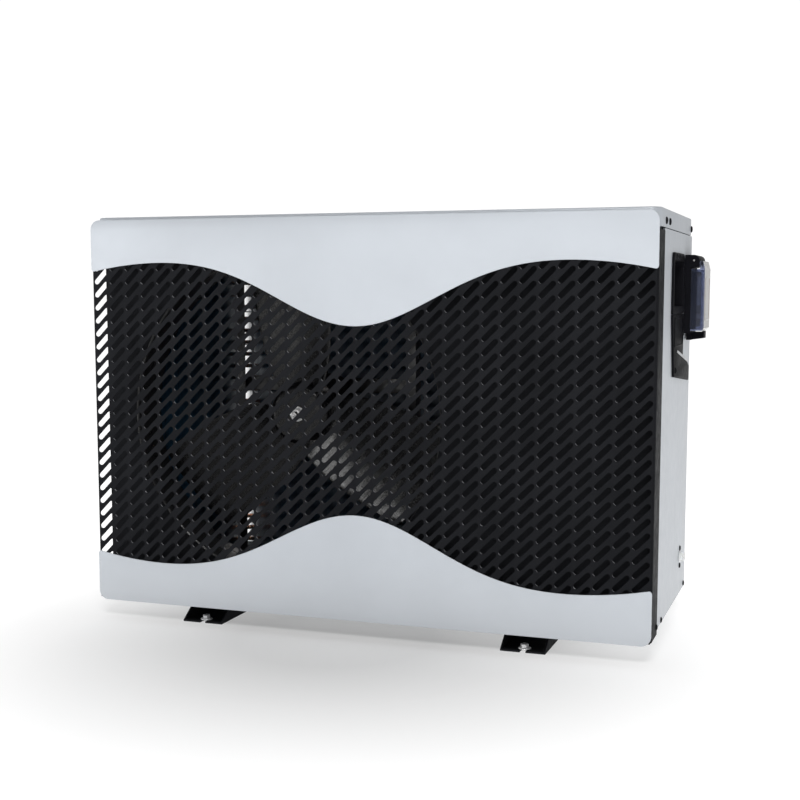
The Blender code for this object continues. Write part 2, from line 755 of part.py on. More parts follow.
def make_heat_exchanger():
    """The titanium coil's water vessel, with two sockets towards the back."""
    x, y = EXCHANGER
    radius = EXCHANGER_RADIUS
    profile = (
        (0.0, 0.362),
        (radius * 0.8, 0.356),
        (radius, 0.342),
        (radius, 0.052),
        (radius * 0.8, 0.040),
        (radius * 0.8, 0.0137),
        (0.0, 0.0137),
    )
    sockets = []
    bores = []
    for height in WATER_HEIGHTS.values():
        sockets.append(rod((x, y + 0.030, height), (x, 0.3285, height), 0.030, 14))
        bores.append(rod((x, y + 0.035, height), (x, 0.3300, height), WATER_BORE, 14))
    sockets.append(rod((x, y - 0.010, 0.340), (x, y - 0.010, 0.3720), 0.008, 10))
    sockets.append(rod((x - 0.040, y, 0.060), (x - 0.066, y, 0.060), 0.008, 10))
    turned("heat_exchanger", profile, (x, y, 0.0), (0, 0, 1), PVC, steps=18, add=sockets, cut=bores)


def make_water_connections():
    """A plain pipe end and a ribbed union nut for each water connection."""
    x = EXCHANGER[0]
    for side, height in WATER_HEIGHTS.items():
        start = (x, 0.3289, height)
        length = WATER_END - start[1]
        wall = ((WATER_RADIUS, length), (WATER_RADIUS, 0.0), (WATER_BORE, 0.0), (WATER_BORE, length))
        turned(f"water_{side}_pipe", wall, start, (0, 1, 0), PVC, steps=18, closed=True)
        inner = WATER_RADIUS + 0.0004
        ring = (
            (inner, 0.034),
            (UNION_RADIUS - 0.006, 0.034),
            (UNION_RADIUS - 0.003, 0.031),
            (UNION_RADIUS - 0.002, 0.0),
            (inner, 0.0),
        )
        place = (x, UNION_FRONT, height)
        ribs = []
        for number in range(8):
            angle = math.radians(45 * number)
            out = UNION_RADIUS - 0.0012
            centre = Vector((x + out * math.cos(angle), 0.0, height + out * math.sin(angle)))
            start = (centre.x, UNION_FRONT + 0.002, centre.z)
            ribs.append(rod(start, (centre.x, UNION_FRONT + 0.030, centre.z), 0.0034, 4))
        name = f"{side}_union_nut"
        turned(name, ring, place, (0, 1, 0), PVC_DARK, steps=18, closed=True, add=[merged(ribs)])


def make_pipes():
    cx, cy = COMPRESSOR
    ax, ay = ACCUMULATOR
    ex, ey = EXCHANGER
    top = VALVE_Z + 0.027 + GAP
    under = VALVE_Z - 0.027 - GAP
    start = (cx + 0.020, cy - 0.024, 0.2780 + GAP)
    loop = [start, (cx + 0.020, cy - 0.024, 0.292), (cx + 0.030, cy - 0.046, 0.330)]
    loop += [(cx + 0.018, cy - 0.034, 0.374), (cx, cy - 0.006, 0.386), (cx, cy, 0.374), (cx, cy, top)]
    pipe("discharge_pipe", loop, 0.005, COPPER)
    route = [(cx, cy, under), (cx, cy, 0.300), (cx - 0.014, cy - 0.014, 0.286)]
    route += [(ax + 0.018, ay + 0.016, 0.280), (ax, ay, 0.256), (ax, ay, 0.230)]
    route += [(ax, ay, 0.2180 + GAP)]
    pipe("suction_pipe", route, 0.006, COPPER)
    right = cx + 0.022
    route = [(right, cy, under), (right, cy, 0.300), (right + 0.010, cy + 0.012, 0.290)]
    route += [(right + 0.014, cy + 0.034, 0.330), (ex - 0.040, ey - 0.066, 0.376)]
    route += [(ex - 0.010, ey - 0.022, 0.388), (ex, ey - 0.010, 0.380), (ex, ey - 0.010, 0.3724)]
    pipe("hot_gas_pipe", route, 0.005, COPPER)
    left = cx - 0.022
    route = [(left, cy, under), (left, cy, 0.300), (left - 0.008, cy + 0.012, 0.288)]
    route += [(left - 0.040, cy + 0.080, 0.292), (0.606, 0.280, 0.300), (0.602, 0.305, 0.300)]
    route += [(0.602, 0.3191, 0.300)]
    pipe("coil_gas_pipe", route, 0.005, COPPER)


def make_expansion_valve():
    x, y, z = 0.650, 0.275, 0.110
    body = rod((x, y, z - 0.014), (x, y, z + 0.020), 0.010, 14)
    coil = rod((x, y, z + 0.016), (x, y, z + 0.046), 0.017, 14)
    inlet = rod((x, y, z), (x + 0.022, y, z), 0.005, 10)
    outlet = rod((x, y, z), (x - 0.018, y + 0.018, z), 0.005, 10)
    solid("expansion_valve", body, BRASS, add=[coil, inlet, outlet], smooth=40)
    ex, ey = EXCHANGER
    route = [(ex - 0.0664, ey, 0.060), (ex - 0.078, ey, 0.060), (ex - 0.092, ey + 0.004, 0.076)]
    route += [(x + 0.040, y, z), (x + 0.030, y, z), (x + 0.0224, y, z)]
    pipe("liquid_pipe_inlet", route, 0.004, COPPER, points=14)
    route = [(x - 0.0184, y + 0.0184, z), (x - 0.026, y + 0.026, z), (x - 0.036, y + 0.042, z - 0.020)]
    route += [(0.603, 0.327, 0.052), (0.595, 0.327, 0.050), (COIL_END + 0.0026, 0.327, 0.050)]
    pipe("liquid_pipe_outlet", route, 0.004, COPPER, points=14)


def make_electrics():
    """An open tray above the compressor with its circuit board."""
    low = (0.600, 0.060, 0.400)
    high = (0.852, 0.318, 0.560)
    shape = box(low, high)
    top = max(shape.faces, key=lambda face: face.calc_center_median().z)
    bmesh.ops.delete(shape, geom=[top], context="FACES_ONLY")
    thicken(solid("electrical_box", shape, GALVANISED), SHEET, offset=-1.0)
    floor = low[2] + SHEET + GAP
    board = box((0.625, 0.085, floor + 0.008), (0.825, 0.300, floor + 0.0096))
    parts = []
    for x in (0.633, 0.817):
        for y in (0.093, 0.292):
            parts.append(rod((x, y, floor), (x, y, floor + 0.009), 0.004, 8))
    for x in (0.665, 0.700):
        parts.append(rod((x, 0.150, floor + 0.009), (x, 0.150, floor + 0.045), 0.013, 16))
    parts.append(box((0.650, 0.220, floor + 0.009), (0.740, 0.270, floor + 0.033)))
    parts.append(box((0.775, 0.110, floor + 0.009), (0.800, 0.270, floor + 0.024)))
    solid("control_board", board, CIRCUIT, add=parts)


# ---------------------------------------------------------------- right side


def make_side_handle():
    """A grip pocket let into the side panel, with a flange that lies on the panel."""
    shape = box((WIDTH + GAP, 0.128, 0.4625), (COVER_FACE, 0.250, 0.553))
    cup = box((0.862, 0.136, 0.472), (WIDTH + 0.001, 0.242, 0.543))
    pocket = box((0.864, 0.138, 0.474), (0.900, 0.240, 0.541))
    solid("side_handle", shape, BLACK_PLASTIC, add=[cup], cut=[pocket])


def make_terminal_cover():
    """The plate over the wiring terminals, long at its lower end."""
    outline = arc(0.154, 0.374, 0.004, 190, 268, 3)
    outline += arc(0.324, 0.359, 0.004, 268, 360, 3)
    outline += [(0.328, 0.378), (0.312, 0.384), (0.250, 0.396), (0.250, 0.4621), (0.128, 0.4621)]
    holes = [arc(y, z, 0.0024, 0, 330, 11) for y, z in COVER_SCREWS.values()]
    middle = (WIDTH + GAP + COVER_FACE) / 2
    face = Matrix(((0, 0, 1, middle), (1, 0, 0, 0), (0, 1, 0, 0), (0, 0, 0, 1)))
    plate("terminal_cover", [outline, *holes], COVER_FACE - WIDTH - GAP, face, BLACK_PLASTIC)


def make_drain_plug():
    """The winter drain of the water vessel, screwed in through the side panel."""
    profile = ((0.0, 0.008), (0.0055, 0.008), (0.0065, 0.007), (0.0065, 0.002))
    profile += ((0.0095, 0.002), (0.0095, 0.0), (0.0055, 0.0), (0.0055, -0.012), (0.0, -0.012))
    turned("drain_plug", profile, (WIDTH + GAP, 0.290, 0.073), (1, 0, 0), WHITE_PLASTIC, steps=16)


def make_controller_base():
    """The weatherproof housing: a back plate, a round-nosed hinge housing and two latch lugs."""
    front, back = BOX_FRONT, BOX_BACK
    nose_top = HINGE_Z + HINGE_ROUND
    nose_low = HINGE_Z - HINGE_ROUND - 0.0024
    shape = box((WIDTH + GAP, front, BOX_LOW), (BASE_FACE, back, nose_top))
    nose = box((BASE_FACE - 0.002, front, nose_low), (HINGE_X, back, nose_top))
    tip_low = HINGE_Z - HINGE_ROUND - 0.0009
    tip = box((HINGE_X - 0.002, front, tip_low), (HINGE_X + HINGE_ROUND, back, HINGE_Z))
    roll = rod((HINGE_X, front, HINGE_Z), (HINGE_X, back, HINGE_Z), HINGE_ROUND, 24)
    lugs = []
    for low_y, high_y in ((0.2950, 0.2994), (0.3266, 0.3310)):
        lugs.append(box((0.8920, low_y, LATCH_Z - 0.0045), (0.9000, high_y, BOX_LOW + 0.001)))
    cuts = [rod((HINGE_X, front - 0.005, HINGE_Z), (HINGE_X, back + 0.005, HINGE_Z), 0.0018, 12)]
    cuts.append(rod((LATCH_X, 0.290, LATCH_Z), (LATCH_X, 0.336, LATCH_Z), 0.0018, 12))
    for low_y, high_y in DOOR_EARS:
        corner = (HINGE_X - 0.0065, low_y - 0.0005, nose_low - 0.001)
        cuts.append(box(corner, (HINGE_X + 0.012, high_y + 0.0005, nose_top + 0.002)))
    solid("controller_base", shape, BLACK_PLASTIC, add=[nose, tip, roll, *lugs], cut=cuts)


def make_controller_door():
    """The smoked flip-up door: a shallow tray open towards the display, hung on two ears."""
    front, back = BOX_FRONT, BOX_BACK
    wall = 0.002
    rear_rim = BASE_FACE + GAP
    shoulder = HINGE_X + HINGE_ROUND + 0.0006
    low = BOX_LOW + 0.004
    side_top = HINGE_Z - 0.0132
    outline = [(rear_rim, low), (DOOR_OUT - 0.0035, low), (DOOR_OUT, low + 0.004)]
    outline += [(DOOR_OUT, HINGE_Z - 0.013), (DOOR_OUT - 0.0035, HINGE_Z - 0.001)]
    outline += [(shoulder, HINGE_Z - 0.001), (shoulder, side_top), (rear_rim, side_top)]
    shape = side_prism(outline, front, back)
    inside = [(rear_rim - 0.003, low + wall), (DOOR_OUT - 0.0043, low + wall)]
    inside += [(DOOR_OUT - wall, low + 0.0048), (DOOR_OUT - wall, HINGE_Z - 0.012)]
    inside += [(shoulder + wall, HINGE_Z - 0.012), (shoulder + wall, side_top + 0.001)]
    inside += [(rear_rim - 0.003, side_top + 0.001)]
    hollow = side_prism(inside, front + wall, back - wall)
    ears = []
    cuts = [hollow]
    for low_y, high_y in DOOR_EARS:
        arm = box((HINGE_X, low_y, HINGE_Z - 0.0035), (shoulder + 0.0015, high_y, HINGE_Z - 0.0012))
        ring = rod((HINGE_X, low_y, HINGE_Z), (HINGE_X, high_y, HINGE_Z), 0.0038, 14)
        ears += [arm, ring]
    cuts.append(rod((HINGE_X, front, HINGE_Z), (HINGE_X, back, HINGE_Z), 0.0018, 12))
    place = (HINGE_X, (front + back) / 2, HINGE_Z)
    solid("controller_door", shape, SMOKED, add=ears, cut=cuts, origin=place)


def side_prism(outline, low_y, high_y):
    """A solid with an outline in the XZ plane, between two depths."""
    shape = bmesh.new()
    face = shape.faces.new([shape.verts.new((x, low_y, z)) for x, z in outline])
    extruded = bmesh.ops.extrude_face_region(shape, geom=[face])
    moved = [item for item in extruded["geom"] if isinstance(item, bmesh.types.BMVert)]
    bmesh.ops.translate(shape, verts=moved, vec=(0.0, high_y - low_y, 0.0))
    bmesh.ops.recalc_face_normals(shape, faces=shape.faces)
    return shape


def make_hinge_pin():
    middle = (BOX_FRONT + BOX_BACK) / 2
    start = (HINGE_X, BOX_FRONT + 0.0005, HINGE_Z)
    pin = rod(start, (HINGE_X, BOX_BACK - 0.0005, HINGE_Z), 0.0015, 12)
    solid("door_hinge_pin", pin, STEEL, origin=(HINGE_X, middle, HINGE_Z), smooth=40)


def make_latch():
    """A finger tab that swings on its own trunnions and holds the door's lower edge with a nib."""
    low_y, high_y = 0.2998, 0.3262
    nib = BOX_LOW + 0.0030
    barrel = rod((LATCH_X, low_y, LATCH_Z), (LATCH_X, high_y, LATCH_Z), 0.0048, 16)
    trunnion = rod((LATCH_X, 0.2955, LATCH_Z), (LATCH_X, 0.3305, LATCH_Z), 0.0015, 12)
    outline = [(LATCH_X, LATCH_Z - 0.0046), (LATCH_TIP, LATCH_Z - 0.0014), (LATCH_TIP, nib)]
    outline += [(LATCH_TIP - 0.003, nib), (LATCH_TIP - 0.0034, nib - 0.0014)]
    outline += [(BASE_FACE + 0.0012, nib - 0.0014), (BASE_FACE + 0.0012, LATCH_Z + 0.0044)]
    outline += [(LATCH_X, LATCH_Z + 0.0044)]
    tab = side_prism(outline, low_y, high_y)
    place = (LATCH_X, (low_y + high_y) / 2, LATCH_Z)
    solid("door_latch", barrel, BLACK_PLASTIC, add=[tab, trunnion], origin=place)


def make_display():
    """The display module with its four keys below the screen."""
    low = (BASE_FACE + GAP, 0.2815, 0.4410)
    high = (DISPLAY_FACE, 0.3445, 0.5270)
    pockets = []
    for y in KEYS.values():
        start = (DISPLAY_FACE - 0.0052, y, KEY_Z)
        pockets.append(rod(start, (DISPLAY_FACE + 0.002, y, KEY_Z), KEY_RADIUS + 0.0004, 16))
    pockets.append(box((DISPLAY_FACE - 0.0012, 0.2870, 0.4740), (DISPLAY_FACE + 0.002, 0.3390, 0.5200)))
    solid("display_module", box(low, high), BLACK_PLASTIC, cut=[merged(pockets)])
    glass = box((DISPLAY_FACE - 0.0008, 0.2874, 0.4744), (DISPLAY_FACE + 0.0004, 0.3386, 0.5196))
    solid("display_window", glass, SCREEN)
    for name, y in KEYS.items():
        start = (DISPLAY_FACE - 0.0036, y, KEY_Z)
        key = rod(start, (DISPLAY_FACE + 0.0014, y, KEY_Z), KEY_RADIUS, 16)
        solid(f"key_{name}", key, KEY_PLASTIC, origin=(DISPLAY_FACE, y, KEY_Z), smooth=40)


clear_scene()
ORIGIN = make_origin()

SILVER = make_material("silver_paint", (0.62, 0.65, 0.69), 0.42, 0.15)
BLACK_STEEL = make_material("black_powder_coat", (0.016, 0.017, 0.019), 0.48)
BLACK_PAINT = make_material("black_paint", (0.012, 0.012, 0.013), 0.35)
BLACK_WIRE = make_material("black_coated_wire", (0.015, 0.015, 0.016), 0.45)
GALVANISED = make_material("galvanised_steel", (0.55, 0.57, 0.59), 0.38, 0.9)
ZINC = make_material("zinc_plate", (0.75, 0.76, 0.78), 0.28, 1.0)
STEEL = make_material("bright_steel", (0.60, 0.60, 0.62), 0.25, 1.0)
COPPER = make_material("copper", (0.72, 0.36, 0.22), 0.30, 1.0)
BRASS = make_material("brass", (0.72, 0.55, 0.25), 0.32, 1.0)
BLUE_FIN = make_material("blue_fins", (0.05, 0.16, 0.30), 0.45, 0.4)
FAN_PLASTIC = make_material("fan_plastic", (0.045, 0.046, 0.050), 0.34)
BLACK_PLASTIC = make_material("black_plastic", (0.014, 0.014, 0.016), 0.42)
WHITE_PLASTIC = make_material("white_plastic", (0.85, 0.85, 0.84), 0.40)
KEY_PLASTIC = make_material("key_plastic", (0.30, 0.31, 0.33), 0.50)
SMOKED = make_material("smoked_clear", (0.10, 0.13, 0.32), 0.06, 0.0, 0.8)
SCREEN = make_material("screen", (0.02, 0.03, 0.04), 0.08)
PVC = make_material("grey_pvc", (0.30, 0.31, 0.33), 0.45)
PVC_DARK = make_material("dark_pvc", (0.05, 0.05, 0.055), 0.45)
CIRCUIT = make_material("circuit_board", (0.03, 0.16, 0.08), 0.45)

make_base_pan()
make_drain_nozzle()
for side, centre in zip(("left", "right"), FOOT_CENTRES):
    make_foot(f"foot_{side}", centre)
    make_foot_bolt(f"foot_bolt_front_{side}", centre, FOOT_FRONT + NOTCH_DEPTH)
    make_foot_bolt(f"foot_bolt_rear_{side}", centre, FOOT_BACK - NOTCH_DEPTH)
make_posts_and_guards()
make_partition()
make_rear_panel()
make_cable_gland()
make_top_cover()
make_right_side_panel()
make_front_deck()
make_fan_shroud()
make_front_grille()
make_trims()
make_coil()
make_coil_ends()
make_impeller()
make_fan_drive()
make_motor()
make_motor_bracket()
make_compressor()
make_accumulator()
make_four_way_valve()
make_heat_exchanger()
make_water_connections()
make_pipes()
make_expansion_valve()
make_electrics()
make_side_handle()
make_terminal_cover()
make_drain_plug()
make_controller_base()
make_controller_door()
make_hinge_pin()
make_latch()
make_display()
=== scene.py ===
"""Looks of the pool heat pump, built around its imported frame.

Lengths are in metres, and in millimetres only where mm() takes them. Places are given in cabinet
coordinates, which run right (X), back (Y) and up (Z) from the lower left front corner of the front
trims. at() moves them into the frame.
"""

import json
from math import cos, exp, pi, radians, sin

import bmesh
import bpy
from mathutils import Matrix, Vector


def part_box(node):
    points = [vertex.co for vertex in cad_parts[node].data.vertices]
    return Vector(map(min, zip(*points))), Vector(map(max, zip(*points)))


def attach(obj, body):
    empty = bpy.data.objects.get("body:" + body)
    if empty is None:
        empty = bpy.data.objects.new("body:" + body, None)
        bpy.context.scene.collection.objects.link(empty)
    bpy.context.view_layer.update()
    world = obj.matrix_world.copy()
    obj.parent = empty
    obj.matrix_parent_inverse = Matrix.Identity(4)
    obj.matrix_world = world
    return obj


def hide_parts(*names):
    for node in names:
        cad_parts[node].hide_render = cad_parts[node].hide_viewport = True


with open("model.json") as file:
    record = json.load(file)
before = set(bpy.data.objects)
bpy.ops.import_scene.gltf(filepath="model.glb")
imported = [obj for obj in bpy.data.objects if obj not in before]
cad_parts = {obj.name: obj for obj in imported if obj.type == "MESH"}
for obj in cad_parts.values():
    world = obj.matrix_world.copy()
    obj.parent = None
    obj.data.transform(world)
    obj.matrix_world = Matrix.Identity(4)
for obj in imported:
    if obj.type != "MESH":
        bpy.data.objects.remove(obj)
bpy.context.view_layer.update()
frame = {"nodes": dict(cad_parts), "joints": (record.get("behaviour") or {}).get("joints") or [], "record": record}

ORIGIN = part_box("bottom_trim")[0]
SLOT_OF = {row["node"]: row["material_slot"] for row in frame["record"]["subparts"]}
BODIES = frame["record"]["behaviour"]["bodies"]
BODY_OF = {node: body for body, nodes in BODIES.items() for node in nodes}
RIGHT, FRONT, BACK, UP = (1, 0, 0), (0, -1, 0), (0, 1, 0), (0, 0, 1)


def at(x, y, z):
    """A point in cabinet coordinates, moved into the frame."""
    return ORIGIN + Vector((x, y, z))


def local(node):
    """The lowest and highest corners of a node in cabinet coordinates."""
    low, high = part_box(node)
    return low - ORIGIN, high - ORIGIN


def centre(node):
    """The middle of a node in cabinet coordinates."""
    low, high = local(node)
    return (low + high) / 2


# Driving sizes, read from the frame where a node has them
WIDTH = local("bottom_trim")[1].x
TRIM_TOP = local("top_trim")[1].z
TRIM_BACK = local("bottom_trim")[1].y
PANEL_FACE = local("right_side_panel")[1].x
FAN_PLACE = frame["joints"][0]["pos_m"]
FAN_X, FAN_Z = FAN_PLACE[0] - ORIGIN.x, FAN_PLACE[2] - ORIGIN.z
SHEET = 0.0012
JOIN_DISTANCE = 2e-6

# Wave edge of the trims
TRIM_CORNER = 0.015
TRIM_END_ROUND = 0.0045
TRIM_EDGE = 0.0006
WAVE_STEPS = 120
WAVE_BASE = 0.0585
WAVE_RISE = 0.1035
WAVE_SPREAD = 0.123
WAVE_END_RISE = 0.0222
WAVE_END_POWER = 4.6

# Grille and its slots
GRILLE_BEND = 0.0024
SLOT_PITCH_X = 0.02764
SLOT_PITCH_Z = 0.02057
SLOT_LENGTH = 0.0317
SLOT_WIDTH = 0.0083
SLOT_COLUMNS = 32
SLOT_ROWS = 24
SLOT_TILT = radians(45)
SLOT_OVERLAP = 0.02

# Lid
LID_CORNER = 0.018
LID_FILLET = 0.0032

# Fan blades, in degrees across each blade, and the bell mouth
BLADE_COUNT = 3
BLADE_MIDDLE = radians(-25)
BLADE_REACH = 46
BLADE_ROOT_REACH = 68
BLADE_ROOT = 0.046
BLADE_TIP = 0.243
BLADE_FRONT = 0.094
BLADE_DEPTH = 0.056
BLADE_RAKE = 0.006
BLADE_CAMBER = 0.008
BLADE_THICKNESS = 0.0026
BLADE_CELLS = 26
HUB_FRONT = 0.1
HUB_BACK = 0.16
SHROUD_RADIUS = 0.254
MOTOR_RADIUS = 0.0576

# Coil
FIN_HALF_DEPTH = 0.0108
FIN_HALF_THICKNESS = 0.00011
FIN_PITCH = 0.0019
COIL_BEND = 0.158
TUBE_RISE = 0.021
TUBE_RADIUS = 0.004
FINS_PER_TUBE_POINT = 6

# Wire guards
WIRE_RADIUS = 0.0008
WIRE_SPACING = 0.0125
WIRE_LEVELS = 0.06

# Compressor section, at an X and a Y
COMPRESSOR = (0.7, 0.15)
COMPRESSOR_RADIUS = 0.058
ACCUMULATOR = (0.629, 0.085)
NUT_RADIUS = 0.0352

# Screws in the right side, each at a depth and a height
LID_SCREWS = {"front": (0.0607, 0.5948), "second": (0.096, 0.5948), "rear": (0.343, 0.5948)}
SIDE_SCREWS = {
    "grille": (0.047, 0.0176),
    "panel_front": (0.0918, 0.0176),
    "panel_rear": (0.344, 0.0184),
    "drain_upper": (0.29, 0.087),
    "drain_lower": (0.29, 0.059),
}
REAR_SCREW_HEIGHTS = (0.055, 0.215, 0.385, 0.565)

# Two-digit display: the bars of each figure, and where each bar runs on a grid of one by two
SEGMENTS = {"2": "abged", "8": "abcdefg"}
BARS = {"a": (0, 2, 1, 2), "b": (1, 1, 1, 2), "c": (1, 0, 1, 1), "d": (0, 0, 1, 0)}
BARS |= {"e": (0, 0, 0, 1), "f": (0, 1, 0, 2), "g": (0, 1, 1, 1)}
DISPLAY_TEXT = "28"
SEGMENT_SIZE = 0.0095
FIGURE_PITCH = 0.016


# --- materials

LOOKS = {}


def feed(tree, socket, value):
    """Links a socket to another one, or sets it to a constant."""
    if isinstance(value, bpy.types.NodeSocket):
        tree.links.new(value, socket)
    else:
        socket.default_value = value


def add_node(tree, kind, *values, operation=None, **named):
    """A shader node with its inputs given in order or by name."""
    node = tree.nodes.new(f"ShaderNode{kind}")
    if operation:
        node.operation = operation
    for socket, value in zip(node.inputs, values):
        feed(tree, socket, value)
    for name, value in named.items():
        feed(tree, node.inputs[name.replace("_", " ")], value)
    return node


def ranged(tree, value, low, high, start, end):
    """A value's range from start to end, mapped onto low to high."""
    return add_node(tree, "MapRange", value, start, end, low, high).outputs["Result"]


def shades(colour, darker, lighter):
    return tuple(c * darker for c in colour), tuple(min(c * lighter, 1.0) for c in colour)


class Look:
    """A Principled material whose colour, roughness and bump come from procedural textures."""

    def __init__(self, name, colour, roughness, metallic=0.0, **constants):
        self.material = bpy.data.materials.new(name)
        self.material.use_nodes = True
        self.material.diffuse_color = (*colour, 1.0)
        self.tree = self.material.node_tree
        self.inputs = self.tree.nodes["Principled BSDF"].inputs
        self.colour((*colour, 1.0))
        self.roughness(roughness)
        self.inputs["Metallic"].default_value = metallic
        for socket, value in constants.items():
            self.inputs[socket.replace("_", " ")].default_value = value
        self.place = add_node(self.tree, "TexCoord").outputs["Object"]
        LOOKS[name] = self.material

    def colour(self, value):
        feed(self.tree, self.inputs["Base Color"], value)

    def roughness(self, value):
        feed(self.tree, self.inputs["Roughness"], value)

    def stretched(self, scale):
        return add_node(self.tree, "Mapping", self.place, Scale=scale).outputs[0]

    def noise(self, scale, detail=3.0, vector=None):
        place = vector or self.place
        return add_node(self.tree, "TexNoise", place, Scale=scale, Detail=detail).outputs["Fac"]

    def spread(self, value, low, high, start=0.3, end=0.7):
        return ranged(self.tree, value, low, high, start, end)

    def blend(self, factor, first, second, mode="MIX"):
        node = add_node(self.tree, "Mix")
        node.data_type = "RGBA"
        node.blend_type = mode
        feed(self.tree, node.inputs[0], factor)
        for socket, value in ((6, first), (7, second)):
            linked = isinstance(value, bpy.types.NodeSocket)
            feed(self.tree, node.inputs[socket], value if linked else (*value, 1.0))
        return node.outputs[2]

    def mottled(self, colour, darker, lighter, scale, detail=3.0, vector=None):
        """A colour that drifts between a darker and a lighter shade of itself."""
        drift = self.spread(self.noise(scale, detail, vector), 0.0, 1.0)
        return self.blend(drift, *shades(colour, darker, lighter))

    def uneven(self, low, high, scale, detail=3.0):
        """Roughness that drifts between low and high."""
        self.roughness(self.spread(self.noise(scale, detail), low, high))

    def bump(self, height, distance, strength):
        """Relief on top of any that the material has already."""
        node = add_node(self.tree, "Bump", Height=height, Distance=distance, Strength=strength)
        normal = self.inputs["Normal"]
        if normal.is_linked:
            feed(self.tree, node.inputs["Normal"], normal.links[0].from_socket)
        feed(self.tree, normal, node.outputs["Normal"])


def painted(name, colour):
    """Metallic paint: fine flake, an orange-peel surface and a faint film of dust low down."""
    look = Look(name, colour, 0.42, 0.25, Coat_Weight=0.15, Coat_Roughness=0.3)
    cloud = look.mottled(colour, 0.965, 1.03, 7.0, 4.0)
    flake = look.spread(look.noise(2600.0, 1.0), 0.94, 1.06)
    tone = look.blend(1.0, cloud, flake, "MULTIPLY")
    z = add_node(look.tree, "SeparateXYZ", look.place).outputs["Z"]
    dust = look.spread(z, 0.0, 0.1, ORIGIN.z + 0.1, ORIGIN.z - 0.01)
    look.colour(look.blend(dust, tone, (0.5, 0.48, 0.45)))
    look.uneven(0.37, 0.48, 60.0)
    look.bump(look.noise(520.0, 2.0), 0.00006, 0.5)


def powder_coated(name, colour):
    """Black powder coat: a fine pebbled grain with slightly greyer high spots."""
    look = Look(name, colour, 0.46, IOR=1.06)
    grain = look.mottled(colour, 0.75, 1.45, 1500.0)
    cloud = look.spread(look.noise(11.0), 0.85, 1.18)
    look.colour(look.blend(1.0, grain, cloud, "MULTIPLY"))
    look.uneven(0.39, 0.54, 90.0)
    look.bump(look.noise(1300.0), 0.00012, 0.55)


def glossy_paint(name, colour):
    look = Look(name, colour, 0.28, Coat_Weight=0.2)
    look.colour(look.mottled(colour, 0.8, 1.3, 40.0))
    look.uneven(0.22, 0.42, 25.0, 4.0)
    look.bump(look.noise(300.0, 2.0), 0.00015, 0.6)


def galvanised(name, colour):
    """Hot-dipped zinc: crystals about a centimetre across, each with its own tone."""
    look = Look(name, colour, 0.38, 0.92)
    crystals = add_node(look.tree, "TexVoronoi", look.place, Scale=95.0).outputs
    split = add_node(look.tree, "SeparateColor", crystals["Color"])
    tone = look.blend(split.outputs["Red"], *shades(colour, 0.78, 1.12))
    stain = look.spread(look.noise(14.0, 5.0), 0.88, 1.05)
    look.colour(look.blend(1.0, tone, stain, "MULTIPLY"))
    look.roughness(look.spread(split.outputs["Green"], 0.28, 0.48, 0.0, 1.0))
    look.bump(crystals["Distance"], 0.0001, 0.25)


def bare_metal(name, colour, roughness, tarnish, lines=0.0):
    """Metal with a mottled tarnish and, where lines is given, fine turning marks round Z or Y."""
    look = Look(name, colour, roughness, 1.0)
    patches = look.spread(look.noise(55.0, 5.0), 0.0, 1.0, 0.42, 0.72)
    look.colour(look.blend(patches, colour, tarnish))
    look.uneven(roughness - 0.06, roughness + 0.1, 220.0)
    if lines:
        marks = look.noise(1.0, 1.0, look.stretched((60.0, lines, lines)))
        look.bump(marks, 0.00005, 0.4)
    look.bump(look.noise(700.0, 2.0), 0.00003, 0.4)


def fin_coating(name, colour):
    """Blue coated aluminium fins, with streaks that run down them."""
    look = Look(name, colour, 0.42, 0.45)
    down = look.stretched((260.0, 260.0, 5.0))
    look.colour(look.mottled(colour, 0.6, 1.5, 1.0, 3.0, down))
    look.uneven(0.34, 0.52, 30.0)
    look.bump(look.noise(1.0, 1.0, look.stretched((40.0, 40.0, 650.0))), 0.0001, 0.5)


def moulded(name, colour, roughness, grain=2600.0, depth=0.00006, strength=0.5, **constants):
    """Injection-moulded plastic with a fine eroded texture and slight flow clouds."""
    look = Look(name, colour, roughness, **constants)
    cloud = look.mottled(colour, 0.85, 1.2, 24.0, 4.0)
    speckle = look.spread(look.noise(grain, 2.0), 0.93, 1.07)
    look.colour(look.blend(1.0, cloud, speckle, "MULTIPLY"))
    look.uneven(roughness - 0.05, roughness + 0.08, 120.0)
    look.bump(look.noise(grain, 2.0), depth, strength)


def clear_plastic(name, colour, roughness):
    """Transparent polycarbonate with a few fine wipe marks in its polish."""
    look = Look(name, colour, roughness, Transmission_Weight=0.92, IOR=1.5)
    look.colour(look.mottled(colour, 0.9, 1.08, 35.0, 2.0))
    wiped = look.noise(1.0, 4.0, look.stretched((120.0, 60.0, 900.0)))
    look.roughness(look.spread(wiped, roughness * 0.6, roughness * 2.2))


def circuit_board(name, colour):
    """Green solder mask over copper tracks that run in two directions."""
    look = Look(name, colour, 0.4)
    tones = [(*tone, 1.0) for tone in (colour, *shades(colour, 0.8, 2.2))]
    tracks = add_node(look.tree, "TexBrick", look.place, *tones, 130.0, Mortar_Size=0.09)
    look.colour(tracks.outputs["Color"])
    look.uneven(0.32, 0.5, 80.0)
    look.bump(tracks.outputs["Fac"], 0.00005, 0.6)


